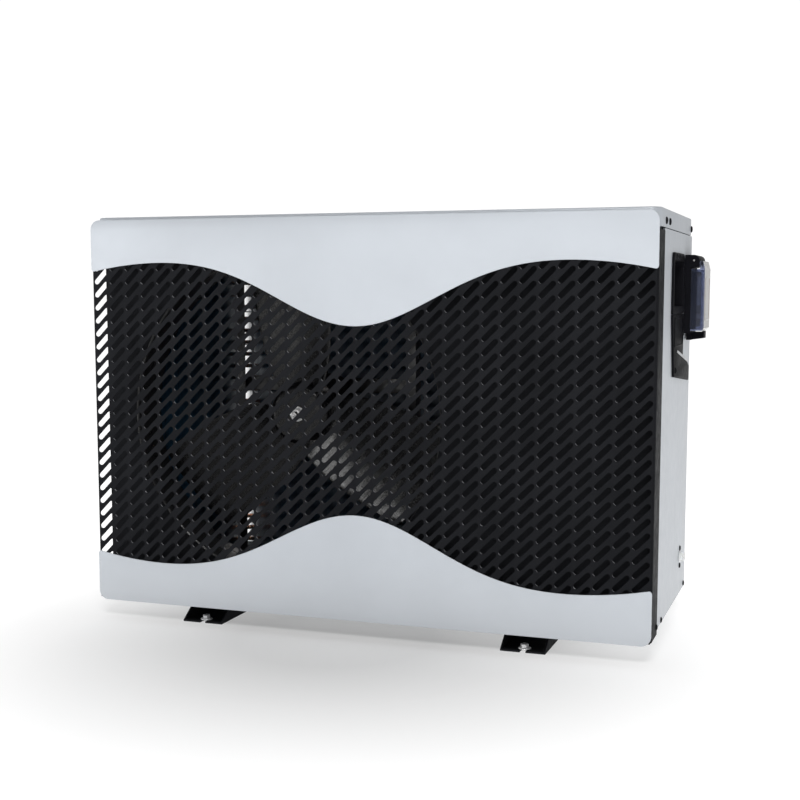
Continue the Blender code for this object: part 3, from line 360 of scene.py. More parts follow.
painted("silver_paint", (0.525, 0.557, 0.598))
powder_coated("black_powder", (0.0125, 0.013, 0.0148))
glossy_paint("black_paint", (0.013, 0.013, 0.014))
galvanised("galvanised", (0.62, 0.64, 0.66))
bare_metal("zinc", (0.92, 0.92, 0.93), 0.38, (0.84, 0.84, 0.83))
bare_metal("steel", (0.62, 0.62, 0.63), 0.22, (0.5, 0.49, 0.47), 900.0)
bare_metal("copper", (0.74, 0.38, 0.24), 0.28, (0.42, 0.2, 0.12))
bare_metal("brass", (0.74, 0.57, 0.27), 0.3, (0.5, 0.37, 0.17))
fin_coating("blue_fin", (0.016, 0.06, 0.11))
moulded("fan_plastic", (0.003, 0.003, 0.0036), 0.24, 700.0, 0.00002, 0.3, IOR=1.45)
moulded("black_plastic", (0.008, 0.008, 0.01), 0.36, IOR=1.04)
moulded("white_plastic", (0.86, 0.86, 0.84), 0.35, Subsurface_Weight=0.05)
moulded("key_plastic", (0.32, 0.33, 0.35), 0.5)
clear_plastic("smoked", (0.22, 0.25, 0.37), 0.05)
clear_plastic("door_lens", (0.72, 0.66, 0.6), 0.06)
clear_plastic("screen", (0.35, 0.42, 0.48), 0.04)
moulded("grey_pvc", (0.3, 0.31, 0.33), 0.42, 900.0)
moulded("dark_pvc", (0.045, 0.045, 0.05), 0.42, 900.0)
circuit_board("circuit", (0.02, 0.15, 0.07))
# Lighter grey for the grille's slot walls that face up and right: a painted highlight.
moulded("slot_wall_painted_highlight", (0.26, 0.265, 0.28), 0.4, 1800.0, 0.00003)
# Pale grey for the terminal cover's slanted ridge: a painted highlight.
moulded("ridge_painted_highlight", (0.5, 0.51, 0.53), 0.35, 1800.0, 0.00003)
# A lighter, less metallic copy of zinc for the foot bolts: painted light that lifts them out of the shade under
# the unit.
moulded("zinc_painted_lit", (0.84, 0.85, 0.87), 0.3, 900.0, 0.00004, metallic=0.35)
moulded("rubber", (0.018, 0.018, 0.018), 0.75, 1200.0, 0.0001)
moulded("segment", (0.012, 0.015, 0.018), 0.4)
moulded("panel_glow", (0.38, 0.5, 0.46), 0.5, 1500.0, 0.00001)


# --- making pieces


def mm(*pairs, out=0.0, up=0.0):
    """Pairs of millimetres turned into metres, then moved outwards and upwards by metres."""
    return [(out + a / 1000, up + b / 1000) for a, b in pairs]


def placed(name, data):
    """A new object in the scene."""
    obj = bpy.data.objects.new(name, data)
    bpy.context.scene.collection.objects.link(obj)
    return obj


def object_from(shape, name, smooth=35):
    mesh = bpy.data.meshes.new(name)
    shape.to_mesh(mesh)
    shape.free()
    mesh.shade_smooth()
    mesh.set_sharp_from_angle(angle=radians(smooth))
    return placed(name, mesh)


def add(obj, slot, node=None, look=None, body="cabinet"):
    """Gives a piece its material, and the body of the node that it stands for if it has one."""
    obj.data.materials.clear()
    obj.data.materials.append(LOOKS[look or slot])
    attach(obj, BODY_OF[node] if node else body)
    if node:
        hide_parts(node)
    return obj


def piece(shape, name, smooth, slot, node=None, look=None):
    """A piece of the object from one shape or a list of them."""
    if isinstance(shape, list):
        shape = merged(shape)
    return add(object_from(shape, name, smooth), slot, node, look)


def rounded_edges(obj, width, segments=2, angle=30):
    bevel = obj.modifiers.new("edges", "BEVEL")
    bevel.width = width
    bevel.segments = segments
    bevel.limit_method = "ANGLE"
    bevel.angle_limit = radians(angle)
    return obj


def welded(node):
    """A copy of a node's mesh with its corners joined and its flat faces whole."""
    shape = bmesh.new()
    shape.from_mesh(frame["nodes"][node].data)
    bmesh.ops.remove_doubles(shape, verts=shape.verts, dist=JOIN_DISTANCE)
    flat = radians(0.8)
    bmesh.ops.dissolve_limit(shape, angle_limit=flat, verts=shape.verts, edges=shape.edges)
    return shape


def refined(node, width=0.0004, segments=2, smooth=40, look=None):
    """Stands for a node whose shape is right, with its edges rounded."""
    obj = piece(welded(node), f"{node}_finished", smooth, SLOT_OF[node], node, look)
    rounded_edges(obj, width, segments)


def smooth_pipe(node):
    """Stands for a bent pipe, with its few sides subdivided until it is round."""
    obj = piece(welded(node), f"{node}_tube", 80, SLOT_OF[node], node)
    rounds = obj.modifiers.new("round", "SUBSURF")
    rounds.levels = rounds.render_levels = 2


def box(low, high):
    shape = bmesh.new()
    size = [b - a for a, b in zip(low, high)]
    middle = at(*[(a + b) / 2 for a, b in zip(low, high)])
    place = Matrix.Translation(middle) @ Matrix.Diagonal((*size, 1.0))
    bmesh.ops.create_cube(shape, size=1.0, matrix=place)
    return shape


def facing(direction):
    """The turn that points +Z along a direction."""
    return Vector(direction).to_track_quat("Z", "Y").to_matrix().to_4x4()


def rod(start, end, radius, segments=24):
    start, end = at(*start), at(*end)
    shape = bmesh.new()
    place = Matrix.Translation((start + end) / 2) @ facing(end - start)
    sizes = {"radius1": radius, "radius2": radius, "depth": (end - start).length}
    bmesh.ops.create_cone(shape, cap_ends=True, segments=segments, matrix=place, **sizes)
    return shape


def turned(profile, start, direction, steps):
    """A turned shape from radius and height pairs, about an axis from start.

    A profile that stays clear of the axis is closed on itself.
    """
    shape = bmesh.new()
    corners = [shape.verts.new((radius, 0.0, height)) for radius, height in profile]
    pairs = list(zip(corners, corners[1:]))
    if min(profile[0][0], profile[-1][0]) > 0.0:
        pairs.append((corners[-1], corners[0]))
    edges = [shape.edges.new(pair) for pair in pairs]
    path = {"cent": (0, 0, 0), "axis": UP, "angle": 2 * pi, "steps": steps}
    bmesh.ops.spin(shape, geom=corners + edges, use_merge=True, **path)
    bmesh.ops.remove_doubles(shape, verts=shape.verts, dist=JOIN_DISTANCE)
    bmesh.ops.recalc_face_normals(shape, faces=shape.faces)
    place = Matrix.Translation(at(*start)) @ facing(direction)
    bmesh.ops.transform(shape, matrix=place, verts=shape.verts)
    return shape


def around(count, radius, middle, first=0.0):
    """Places evenly round a middle, the first of them at an angle in degrees."""
    angles = [radians(first + 360 * number / count) for number in range(count)]
    return [(middle[0] + radius * cos(a), middle[1] + radius * sin(a)) for a in angles]


def merged(shapes):
    whole = bmesh.new()
    for shape in shapes:
        mesh = bpy.data.meshes.new("piece")
        shape.to_mesh(mesh)
        shape.free()
        whole.from_mesh(mesh)
        bpy.data.meshes.remove(mesh)
    return whole


def rounded_profile(points, radius, steps):
    """A profile with each inner corner turned into a short arc."""
    result = [points[0]]
    for before, corner, after in zip(points, points[1:], points[2:]):
        corner = Vector(corner)
        first = Vector(before) - corner
        second = Vector(after) - corner
        reach = min(radius, first.length * 0.45, second.length * 0.45)
        start = corner + first.normalized() * reach
        end = corner + second.normalized() * reach
        for step in range(steps + 1):
            t = step / steps
            result.append(tuple(start.lerp(corner, t).lerp(corner.lerp(end, t), t)))
    return [*result, points[-1]]


def evaluated_mesh(obj):
    """A new mesh from an object as its modifiers or its curve settings leave it."""
    bpy.context.view_layer.update()
    evaluated = obj.evaluated_get(bpy.context.evaluated_depsgraph_get())
    return bpy.data.meshes.new_from_object(evaluated)


def as_mesh(obj):
    """Turns a curve object into a mesh object with its seams joined."""
    mesh = evaluated_mesh(obj)
    shape = bmesh.new()
    shape.from_mesh(mesh)
    bmesh.ops.transform(shape, matrix=obj.matrix_world, verts=shape.verts)
    bmesh.ops.remove_doubles(shape, verts=shape.verts, dist=JOIN_DISTANCE)
    bmesh.ops.recalc_face_normals(shape, faces=shape.faces)
    name = obj.name
    bpy.data.objects.remove(obj)
    bpy.data.meshes.remove(mesh)
    return object_from(shape, name)


def add_line(curve, places, closed):
    line = curve.splines.new("POLY")
    line.points.add(len(places) - 1)
    line.use_cyclic_u = closed
    for point, place in zip(line.points, places):
        point.co = (*place, 1.0)


def cut_sheet(name, loops, thickness, matrix, edge, steps):
    """A flat sheet cut to outlines, with a fine round along every cut edge."""
    curve = bpy.data.curves.new(name, "CURVE")
    curve.dimensions = "2D"
    curve.fill_mode = "BOTH"
    curve.extrude = thickness / 2 - edge
    curve.bevel_depth = edge
    curve.bevel_resolution = steps
    curve.offset = -edge
    for loop in loops:
        add_line(curve, [(x, y, 0.0) for x, y in loop], True)
    obj = placed(name, curve)
    obj.matrix_world = matrix
    return as_mesh(obj)


def tube(name, route, radius, sides):
    """A round tube through points in cabinet coordinates."""
    curve = bpy.data.curves.new(name, "CURVE")
    curve.dimensions = "3D"
    curve.bevel_depth = radius
    curve.bevel_resolution = sides
    curve.use_fill_caps = True
    add_line(curve, [at(*place) for place in route], False)
    return as_mesh(placed(name, curve))


def front_plane(y):
    """Outlines drawn in X and Z, at a depth."""
    return Matrix.Translation(at(0.0, y, 0.0)) @ Matrix.Rotation(pi / 2, 4, "X")


def side_plane(x):
    """Outlines drawn in Y and Z, facing right."""
    turn = Matrix(((0, 0, 1, 0), (1, 0, 0, 0), (0, 1, 0, 0), (0, 0, 0, 1)))
    return Matrix.Translation(at(x, 0.0, 0.0)) @ turn


def arc(centre_x, centre_y, radius, start, end, steps):
    angles = [radians(start + (end - start) * i / steps) for i in range(steps + 1)]
    return [(centre_x + radius * cos(a), centre_y + radius * sin(a)) for a in angles]


def rounded_rectangle(low, high, radii, steps=8):
    """An outline with one corner radius, or four from the lower left by the lower right."""
    if isinstance(radii, float):
        radii = (radii,) * 4
    corners = (
        (low[0] + radii[0], low[1] + radii[0], radii[0], 180),
        (high[0] - radii[1], low[1] + radii[1], radii[1], 270),
        (high[0] - radii[2], high[1] - radii[2], radii[2], 0),
        (low[0] + radii[3], high[1] - radii[3], radii[3], 90),
    )
    outline = []
    for x, y, radius, start in corners:
        outline += arc(x, y, radius, start, start + 90, steps)
    return outline


def bridged(rings):
    """A skin over rings of points that all have the same count, capped on the last one."""
    shape = bmesh.new()
    loops = [[shape.verts.new(point) for point in ring] for ring in rings]
    for before, after in zip(loops, loops[1:]):
        for index in range(len(before)):
            other = (index + 1) % len(before)
            shape.faces.new((before[index], before[other], after[other], after[index]))
    shape.faces.new(loops[-1])
    bmesh.ops.recalc_face_normals(shape, faces=shape.faces)
    return shape


def solidified(obj, thickness, offset=-1.0):
    sheet = obj.modifiers.new("sheet", "SOLIDIFY")
    sheet.thickness = thickness
    sheet.offset = offset
    sheet.use_even_offset = True
    return obj


# --- screws

HEADS = {}


def pan_head_mesh(radius):
    """A domed screw head that faces +Z, with a cross recess."""
    rise = radius * 0.52
    profile = [(0.0, rise)]
    for step in range(1, 9):
        angle = pi / 2 * step / 8
        profile.append((radius * sin(angle), rise * (0.35 + 0.65 * cos(angle))))
    profile += [(radius, 0.0), (0.0, 0.0)]
    shape = turned(profile, -ORIGIN, UP, 32)
    head = object_from(shape, f"pan_head_{radius * 10000:.0f}", 30)
    for angle in (20, 110):
        cutter = bmesh.new()
        size = Matrix.Diagonal((radius * 1.15, radius * 0.22, rise * 1.1, 1.0))
        turn = Matrix.Rotation(radians(angle), 4, "Z")
        lift = Matrix.Translation((0, 0, rise * 1.02))
        bmesh.ops.create_cube(cutter, size=1.0, matrix=lift @ turn @ size)
        tool = object_from(cutter, "recess")
        cut = head.modifiers.new("recess", "BOOLEAN")
        cut.operation = "DIFFERENCE"
        cut.object = tool
        mesh = evaluated_mesh(head)
        head.modifiers.clear()
        head.data = mesh
        bpy.data.objects.remove(tool)
    bpy.data.objects.remove(head)
    mesh.materials.clear()
    mesh.materials.append(LOOKS["black_powder"])
    return mesh


def screw(name, place, direction, radius, spin):
    """A pan-head screw whose head sits on a surface, spun by an angle in degrees."""
    if radius not in HEADS:
        HEADS[radius] = pan_head_mesh(radius)
    obj = placed(name, HEADS[radius])
    spun = facing(direction) @ Matrix.Rotation(radians(spin), 4, "Z")
    obj.matrix_world = Matrix.Translation(at(*place)) @ spun
    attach(obj, "cabinet")


# --- front


def wave_height(x):
    """Height of a trim along the front: a bell in the middle, and a slight lift at each end."""
    away = abs(x - WIDTH / 2)
    bell = exp(-((away / WAVE_SPREAD) ** 2) / 2)
    lift = (away / (WIDTH / 2)) ** WAVE_END_POWER
    return WAVE_BASE + WAVE_RISE * bell + WAVE_END_RISE * lift


def trim_outline():
    """The bottom trim's outline, with a small round where the wave meets each end."""
    corner = TRIM_CORNER
    outline = arc(corner, corner, corner, 180, 270, 12)
    outline += arc(WIDTH - corner, corner, corner, 270, 360, 12)
    inner = TRIM_END_ROUND
    top = wave_height(WIDTH - inner)
    outline += arc(WIDTH - inner, top - inner, inner, 0, 80, 6)
    for index in range(1, WAVE_STEPS):
        x = inner + (WIDTH - 2 * inner) * (1 - index / WAVE_STEPS)
        outline.append((x, wave_height(x)))
    return outline + arc(inner, top - inner, inner, 100, 180, 6)


def make_trims():
    bottom = trim_outline()
    top = [(x, TRIM_TOP - y) for x, y in reversed(bottom)]
    plane = front_plane(TRIM_BACK / 2)
    for end, outline in (("bottom", bottom), ("top", top)):
        trim = cut_sheet(f"wave_trim_{end}", [outline], TRIM_BACK, plane, TRIM_EDGE, 2)
        add(trim, "silver_paint", f"{end}_trim")


def slot_outline(x, z):
    """One slanted round-ended slot."""
    half = (SLOT_LENGTH - SLOT_WIDTH) / 2
    radius = SLOT_WIDTH / 2
    outline = arc(half, 0.0, radius, -90, 90, 6) + arc(-half, 0.0, radius, 90, 270, 6)
    across, rise = cos(SLOT_TILT), sin(SLOT_TILT)
    return [(x + across * a - rise * b, z + rise * a + across * b) for a, b in reversed(outline)]


def make_grille():
    """The slotted sheet with its bent top, bottom and right flanges."""
    low, high = local("front_grille")
    bend = GRILLE_BEND
    face, right = low.y, high.x - bend
    bottom, top = low.z + bend, high.z - bend
    loops = [rounded_rectangle((low.x, bottom), (right, top), 0.0004, 1)]
    for column in range(SLOT_COLUMNS):
        x = WIDTH / 2 + (column - (SLOT_COLUMNS - 1) / 2) * SLOT_PITCH_X
        cover = wave_height(x) - SLOT_OVERLAP
        for row in range(SLOT_ROWS):
            z = TRIM_TOP / 2 + (row - (SLOT_ROWS - 1) / 2) * SLOT_PITCH_Z
            if cover < z < TRIM_TOP - cover:
                loops.append(slot_outline(x, z))
    sheet = cut_sheet("grille_sheet", loops, SHEET, front_plane(face + SHEET / 2), 0.0002, 0)
    add(sheet, "black_powder", "front_grille")
    sheet.data.materials.append(LOOKS["slot_wall_painted_highlight"])
    # Slot walls that face up and to the right take this second material: a painted highlight standing in for light
    # from above.
    for polygon in sheet.data.polygons:
        normal = polygon.normal
        if abs(normal.y) < 0.9 and normal.x > 0.0 and normal.z > 0.1:
            polygon.material_index = 1
    side = [(right, face), *arc(right, face + bend, bend, -90, 0, 5), (high.x, high.y)]
    strip("grille_right_return", [[at(x, y, z) for x, y in side] for z in (bottom, top)])
    shelf = local("front_deck")[0].y - 0.0004
    for name, middle, start, end in (("bottom", bottom, 180, 270), ("top", top, 180, 90)):
        profile = arc(face + bend, middle, bend, start, end, 5)
        profile.append((shelf, profile[-1][1]))
        strip(f"grille_{name}_return", [[at(x, y, z) for y, z in profile] for x in (low.x, right)])


def strip(name, rings):
    """A bent strip of the grille's sheet between two equal rows of points."""
    shape = bmesh.new()
    first, second = [[shape.verts.new(point) for point in ring] for ring in rings]
    for index in range(len(first) - 1):
        shape.faces.new((first[index], first[index + 1], second[index + 1], second[index]))
    bmesh.ops.recalc_face_normals(shape, faces=shape.faces)
    inside = at(WIDTH / 2, 0.2, 0.3)
    shape.faces.ensure_lookup_table()
    face = shape.faces[0]
    if face.normal.dot(face.calc_center_median() - inside) < 0:
        bmesh.ops.reverse_faces(shape, faces=shape.faces)
    solidified(piece(shape, name, 30, "black_powder"), SHEET)


def make_lid():
    """The folded lid: round corners, a soft upper edge and a turned-in hem."""
    low, high = local("top_cover")
    levels = [(0.0014, low.z + 0.0002), (0.0, low.z + 0.0002), (0.0, low.z + 0.006)]
    for step in range(7):
        angle = pi / 2 * step / 6
        inset = LID_FILLET * (1 - cos(angle))
        levels.append((inset, high.z - LID_FILLET * (1 - sin(angle))))
    rings = []
    for inset, z in levels:
        start = (low.x + inset, low.y + inset)
        end = (high.x - inset, high.y - inset)
        outline = rounded_rectangle(start, end, LID_CORNER - inset, 10)
        rings.append([at(x, y, z) for x, y in outline])
    solidified(piece(bridged(rings), "lid_shell", 30, "silver_paint", "top_cover"), SHEET)
    for name, place in LID_SCREWS.items():
        screw(f"lid_screw_{name}", (WIDTH, *place), RIGHT, 0.005, 15)


def make_side_screws():
    for number, (name, place) in enumerate(SIDE_SCREWS.items()):
        screw(f"side_screw_{name}", (WIDTH, *place), RIGHT, 0.0042, 25 * number)


# --- fan section


def blade_shape(turn):
    """One swept, twisted blade as an open sheet about the fan's axis."""
    shape = bmesh.new()
    bmesh.ops.create_grid(shape, x_segments=BLADE_CELLS, y_segments=BLADE_CELLS, size=1.0)
    for vertex in shape.verts:
        out = (vertex.co.x + 1) / 2
        chord = (vertex.co.y + 1) / 2
        radius = BLADE_ROOT + (BLADE_TIP - BLADE_ROOT) * out
        reach = radians(BLADE_REACH + BLADE_ROOT_REACH * (1 - out) ** 2.2)
        reach *= 1 - 0.2 * (2 * chord - 1) ** 4 * out**6
        angle = turn + BLADE_MIDDLE + reach * (chord - 0.5)
        camber = BLADE_CAMBER * sin(pi * chord)
        depth = BLADE_FRONT + BLADE_DEPTH * chord - BLADE_RAKE * out + camber
        place = (FAN_X + radius * cos(angle), depth, FAN_Z + radius * sin(angle))
        vertex.co = at(*place)
    return shape


def make_fan():
    for number in range(BLADE_COUNT):
        shape = blade_shape(2 * pi * number / BLADE_COUNT)
        blade = object_from(shape, f"fan_blade_{number + 1}", 60)
        solidified(blade, BLADE_THICKNESS, 0.0)
        rounded_edges(blade, 0.001, 3, 60)
        add(blade, "fan_plastic", body="fan")
    outside = mm((5.3, 0), (30, 0), (42, 0.6), (50, 8), (50.2, 60))
    inside = mm((47.2, 60), (46.5, 12), (40, 6), (14, 6), (13, 58), (5.3, 58))
    profile = rounded_profile(outside + inside, 0.003, 4)
    shapes = [turned(profile, (FAN_X, HUB_FRONT, FAN_Z), BACK, 72)]
    for number in range(6):
        low = (FAN_X + 0.012, HUB_FRONT + 0.008, FAN_Z - 0.001)
        rib = box(low, (FAN_X + 0.047, HUB_BACK - 0.004, FAN_Z + 0.001))
        spin = Matrix.Rotation(pi / 3 * number, 4, "Y")
        bmesh.ops.rotate(rib, cent=at(FAN_X, 0.0, FAN_Z), matrix=spin, verts=rib.verts)
        shapes.append(rib)
    piece(shapes, "fan_hub", 40, "fan_plastic", "fan_impeller")
    profile = mm((5.4, 0), (8.8, 0), (10.4, 1.2), (10.4, 7.8), (5.4, 7.8))
    nut = turned(profile, (FAN_X, 0.0896, FAN_Z), BACK, 6)
    profile = mm((5.4, 0), (11.8, 0), (12.2, 0.6), (12.2, 1.6), (5.4, 1.6))
    washer = turned(profile, (FAN_X, 0.098, FAN_Z), BACK, 48)
    rounded_edges(piece([nut, washer], "fan_lock_nut", 30, "zinc", "fan_nut"), 0.0004)
    thread = mm((0, 0), (3.6, 0), (4.6, 1))
    for number in range(12):
        thread += mm((5, 1.6 + number), (4.5, 2.1 + number))
    thread += mm((5, 15), (5, 104), (0, 104))
    shaft = turned(thread, (FAN_X, 0.0862, FAN_Z), BACK, 32)
    piece(shaft, "fan_shaft", 30, "steel", "motor_shaft")


def make_shroud():
    """The bell mouth with a rolled lip, and the deck that carries it."""
    low, high = local("fan_shroud")
    radius = SHROUD_RADIUS
    depth = high.y - low.y
    profile = mm((16, 0), (6, 0), (2.2, 2), (0, 7), out=radius)
    profile += mm((0, 0), (1.5, 0), out=radius, up=depth)
    profile += mm((1.5, 8), (4, 3.4), (8, 1.4), (16, 1.4), out=radius)
    profile = rounded_profile(profile, 0.0016, 3)
    ring = turned(profile, (FAN_X, low.y, FAN_Z), BACK, 144)
    piece(ring, "bell_mouth", 35, "black_powder", "fan_shroud", "black_paint")
    refined("front_deck", 0.0002, 1)
    for number, (x, z) in enumerate(around(8, radius + 0.011, (FAN_X, FAN_Z), 22.5)):
        screw(f"shroud_screw_{number + 1}", (x, low.y - 0.0016, z), FRONT, 0.0036, 30 * number)


def make_motor():
    low, high = local("fan_motor")
    length = high.y - low.y
    radius = MOTOR_RADIUS
    profile = mm((5.6, 0), (13.5, 0), (14, 5), (50, 5.2)) + mm((0, 10.5), out=radius)
    start, end = 0.016, length - 0.012
    ribs = 11
    for number in range(ribs):
        y = start + (end - start) * number / (ribs - 1)
        profile += mm((0, -1.3), (-2.2, -0.6), (-2.2, 0.6), (0, 1.3), out=radius, up=y)
    profile += mm((0, -6), (-6, 0), out=radius, up=length) + [(0.0, length)]
    shapes = [turned(profile, (FAN_X, low.y, FAN_Z), BACK, 72)]
    for x, z in around(4, radius - 0.012, (FAN_X, FAN_Z), 45):
        shapes.append(rod((x, low.y + 0.0024, z), (x, low.y + 0.0052, z), 0.0035, 6))
    piece(shapes, "motor_body", 30, "black_powder", "fan_motor")
    refined("motor_bracket", 0.0003, 1, look="black_paint")


def coil_path():
    """Places along the middle of the fin pack, each with the way that the fins stand across it."""
    low, high = local("evaporator_coil")
    left = low.x + 0.011
    back = high.y - 0.011
    turn_x, turn_y = left + COIL_BEND, back - COIL_BEND
    places = []
    for index in range(int((turn_y - low.y) / FIN_PITCH)):
        places.append(((left, low.y + 0.001 + index * FIN_PITCH), (1.0, 0.0)))
    count = int(COIL_BEND * pi / 2 / FIN_PITCH)
    for index in range(count):
        angle = pi - pi / 2 * (index + 0.5) / count
        way = (cos(angle), sin(angle))
        places.append(((turn_x + COIL_BEND * way[0], turn_y + COIL_BEND * way[1]), way))
    for index in range(int((high.x - turn_x) / FIN_PITCH)):
        places.append(((turn_x + index * FIN_PITCH, back), (0.0, 1.0)))
    return places


def make_coil():
    """Thin fins along an L-shaped path, with copper tubes through them and bends at their front."""
    low, high = local("evaporator_coil")
    half, thin = FIN_HALF_DEPTH, FIN_HALF_THICKNESS
    fins = bmesh.new()
    for (x, y), (a, b) in coil_path():
        corners = []
        for side, end in ((-half, -thin), (half, -thin), (half, thin), (-half, thin)):
            corners.append((x + side * a - end * b, y + side * b + end * a))
        first, last = [[fins.verts.new(at(*c, z)) for c in corners] for z in (low.z, high.z)]
        for index in range(4):
            other = (index + 1) % 4
            fins.faces.new((first[index], first[other], last[other], last[index]))
        fins.faces.new(list(reversed(first)))
        fins.faces.new(last)
    bmesh.ops.recalc_face_normals(fins, faces=fins.faces)
    piece(fins, "coil_fins", 20, "blue_fin", "evaporator_coil")
    path = [place for place, way in coil_path()][::FINS_PER_TUBE_POINT]
    front_x, front_y = path[0]
    heights = [low.z + 0.014 + row * TUBE_RISE
               for row in range(int((high.z - low.z - 0.02) / TUBE_RISE))]
    for row, z in enumerate(heights):
        route = [(front_x, front_y - 0.001, z), *((x, y, z) for x, y in path)]
        route.append((high.x + 0.0004, path[-1][1], z))
        add(tube(f"coil_tube_{row + 1:02d}", route, TUBE_RADIUS, 1), "copper")
    for number, z in enumerate(heights[:-1:2]):
        bow = arc(0.0, z + TUBE_RISE / 2, TUBE_RISE / 2, -90, 90, 8)
        bend = [(front_x, low.y - 0.0005 - out * 0.95, level) for out, level in bow]
        add(tube(f"coil_bend_{number + 1:02d}", bend, 0.0042, 2), "copper")


def guard(node, along, name):
    """A welded wire guard along an axis: close upright wires outside a few level ones."""
    low, high = local(node)
    across = 1 - along
    outer, inner = low[across] + WIRE_RADIUS, high[across] - WIRE_RADIUS
    if along == 0:
        outer, inner = inner, outer
    shapes = []
    start, end = low.copy(), high.copy()
    start[across] = end[across] = outer
    span = high[along] - low[along] - 2 * WIRE_RADIUS
    count = round(span / WIRE_SPACING)
    for index in range(count + 1):
        start[along] = end[along] = low[along] + WIRE_RADIUS + span * index / count
        shapes.append(rod(start, end, WIRE_RADIUS, 8))
    start[along], end[along] = low[along], high[along]
    start[across] = end[across] = inner + 0.0002
    count = round((high.z - low.z) / WIRE_LEVELS)
    for index in range(count + 1):
        start.z = end.z = low.z + WIRE_RADIUS + (high.z - low.z - 2 * WIRE_RADIUS) * index / count
        shapes.append(rod(start, end, WIRE_RADIUS * 1.3, 8))
    piece(shapes, name, 50, "black_powder", node)


# --- right side


def make_handle():
    """The grip: a raised rim round a deep pocket, with a lip along the pocket's upper edge."""
    low, high = local("side_handle")
    face = high.x
    levels = (
        (0.0, 0.011, PANEL_FACE + 0.0002),
        (0.0, 0.011, face - 0.0008),
        (0.0003, 0.0108, face - 0.0002),
        (0.001, 0.0102, face),
        (0.0088, 0.008, face),
        (0.0096, 0.0076, face - 0.0004),
        (0.01, 0.0072, face - 0.0014),
        (0.0112, 0.0068, face - 0.026),
        (0.015, 0.005, low.x + 0.0022),
    )
    rings = []
    for inset, radius, x in levels:
        start = (low.y + inset, low.z + inset * 1.2)
        end = (high.y - inset, high.z - inset * 1.2)
        radii = (radius * 0.35, radius * 0.35, radius, radius)
        rings.append([at(x, y, z) for y, z in rounded_rectangle(start, end, radii)])
    piece(bridged(rings), "grip_pocket", 40, "black_plastic", "side_handle")
    start = (face - 0.0008, low.y + 0.012, high.z - 0.0118)
    lip = box(start, (face, high.y - 0.012, high.z - 0.0104))
    rounded_edges(piece(lip, "grip_lip", 35, "black_plastic"), 0.0003)
    for number, y in enumerate((low.y + 0.03, low.y + 0.062)):
        place = (face - 0.0003, y, high.z - 0.0055)
        screw(f"grip_screw_{number + 1}", place, RIGHT, 0.0036, 40 * number)


def make_terminal_cover():
    """The cover over the terminals, with a raised rim, a slanted ridge painted pale as a highlight, and two
    screws.
    """
    low, high = local("terminal_cover")
    face = high.x
    thickness = face - PANEL_FACE - 0.0002
    outline = arc(0.154, 0.374, 0.004, 190, 268, 6) + arc(0.324, 0.359, 0.004, 268, 360, 6)
    outline.append((high.y, 0.378))
    outline += mm((312, 383.6), (252, 395.5), (250, 398.5))
    outline += [(0.25, high.z), (low.y, high.z)]
    plane = side_plane(face - thickness / 2)
    plate = cut_sheet("terminal_plate", [outline], thickness, plane, TRIM_EDGE, 2)
    add(plate, "black_plastic", "terminal_cover")
    # The slanted ridge is coloured pale: a painted highlight where the fold catches the light.
    ridge = mm((178, 405.5), (182, 408.5), (252, 397.5), (306, 388), (305, 385), (250, 394))
    raised = cut_sheet("terminal_ridge", [ridge], 0.0018, side_plane(face + 0.0004), 0.0005, 2)
    add(raised, "black_plastic", look="ridge_painted_highlight")
    loops = []
    for inset, radius in ((0.0, 0.004), (0.0025, 0.003)):
        start, end = (low.y + 0.018 + inset, 0.414 + inset), (0.24 - inset, high.z - 0.004 - inset)
        loops.append(rounded_rectangle(start, end, radius, 5))
    rim = cut_sheet("terminal_rim", loops, 0.0012, side_plane(face + 0.0003), 0.0004, 1)
    add(rim, "black_plastic")
    screw("cover_screw_front", (face, 0.165, 0.379), RIGHT, 0.0044, 10)
    screw("cover_screw_rear", (face, 0.24, 0.432), RIGHT, 0.004, 60)


def make_controller():
    """Housing, hinge, smoked door with a clear bulged front, latch, display and keys."""
    refined("controller_base", 0.0007, 3)
    refined("door_latch", 0.0005)
    refined("door_hinge_pin", 0.0002, 1)
    make_door()
    make_display()


def make_door():
    """The smoked tray with its clearer outer face, which has a fine raised frame."""
    low, high = local("controller_door")
    raised = 0.0004
    shape = welded("controller_door")
    for vertex in shape.verts:
        if vertex.co.x > at(high.x - 0.0001, 0, 0).x:
            vertex.co.x -= raised
    door = piece(shape, "door_shell", 30, "smoked", "controller_door")
    rounded_edges(door, 0.0009, 3)
    door.data.materials.append(LOOKS["door_lens"])
    for face in door.data.polygons:
        if face.center.x > at(high.x - 0.0032, 0, 0).x:
            face.material_index = 1
    loops = []
    for inset, radius in ((0.0, 0.004), (0.0014, 0.003)):
        start = (low.y + 0.009 + inset, low.z + 0.016 + inset)
        end = (high.y - 0.009 - inset, high.z - 0.029 - inset)
        loops.append(rounded_rectangle(start, end, radius, 5))
    place = side_plane(high.x - raised * 0.75)
    rim = cut_sheet("door_lens_frame", loops, raised * 1.4, place, 0.0001, 1)
    add(rim, "smoked", look="door_lens", body="door")


def segment_bar(kind, x, y, z):
    """One bar of a seven-segment figure, from its letter."""
    size = SEGMENT_SIZE
    bar = size * 0.1
    low_y, low_z, high_y, high_z = BARS[kind]
    end_y = bar if high_y > low_y else -bar / 2
    end_z = bar if high_z > low_z else -bar / 2
    low = (x, y + low_y * size + end_y, z + low_z * size + end_z)
    return box(low, (x + 0.0002, y + high_y * size - end_y, z + high_z * size - end_z))


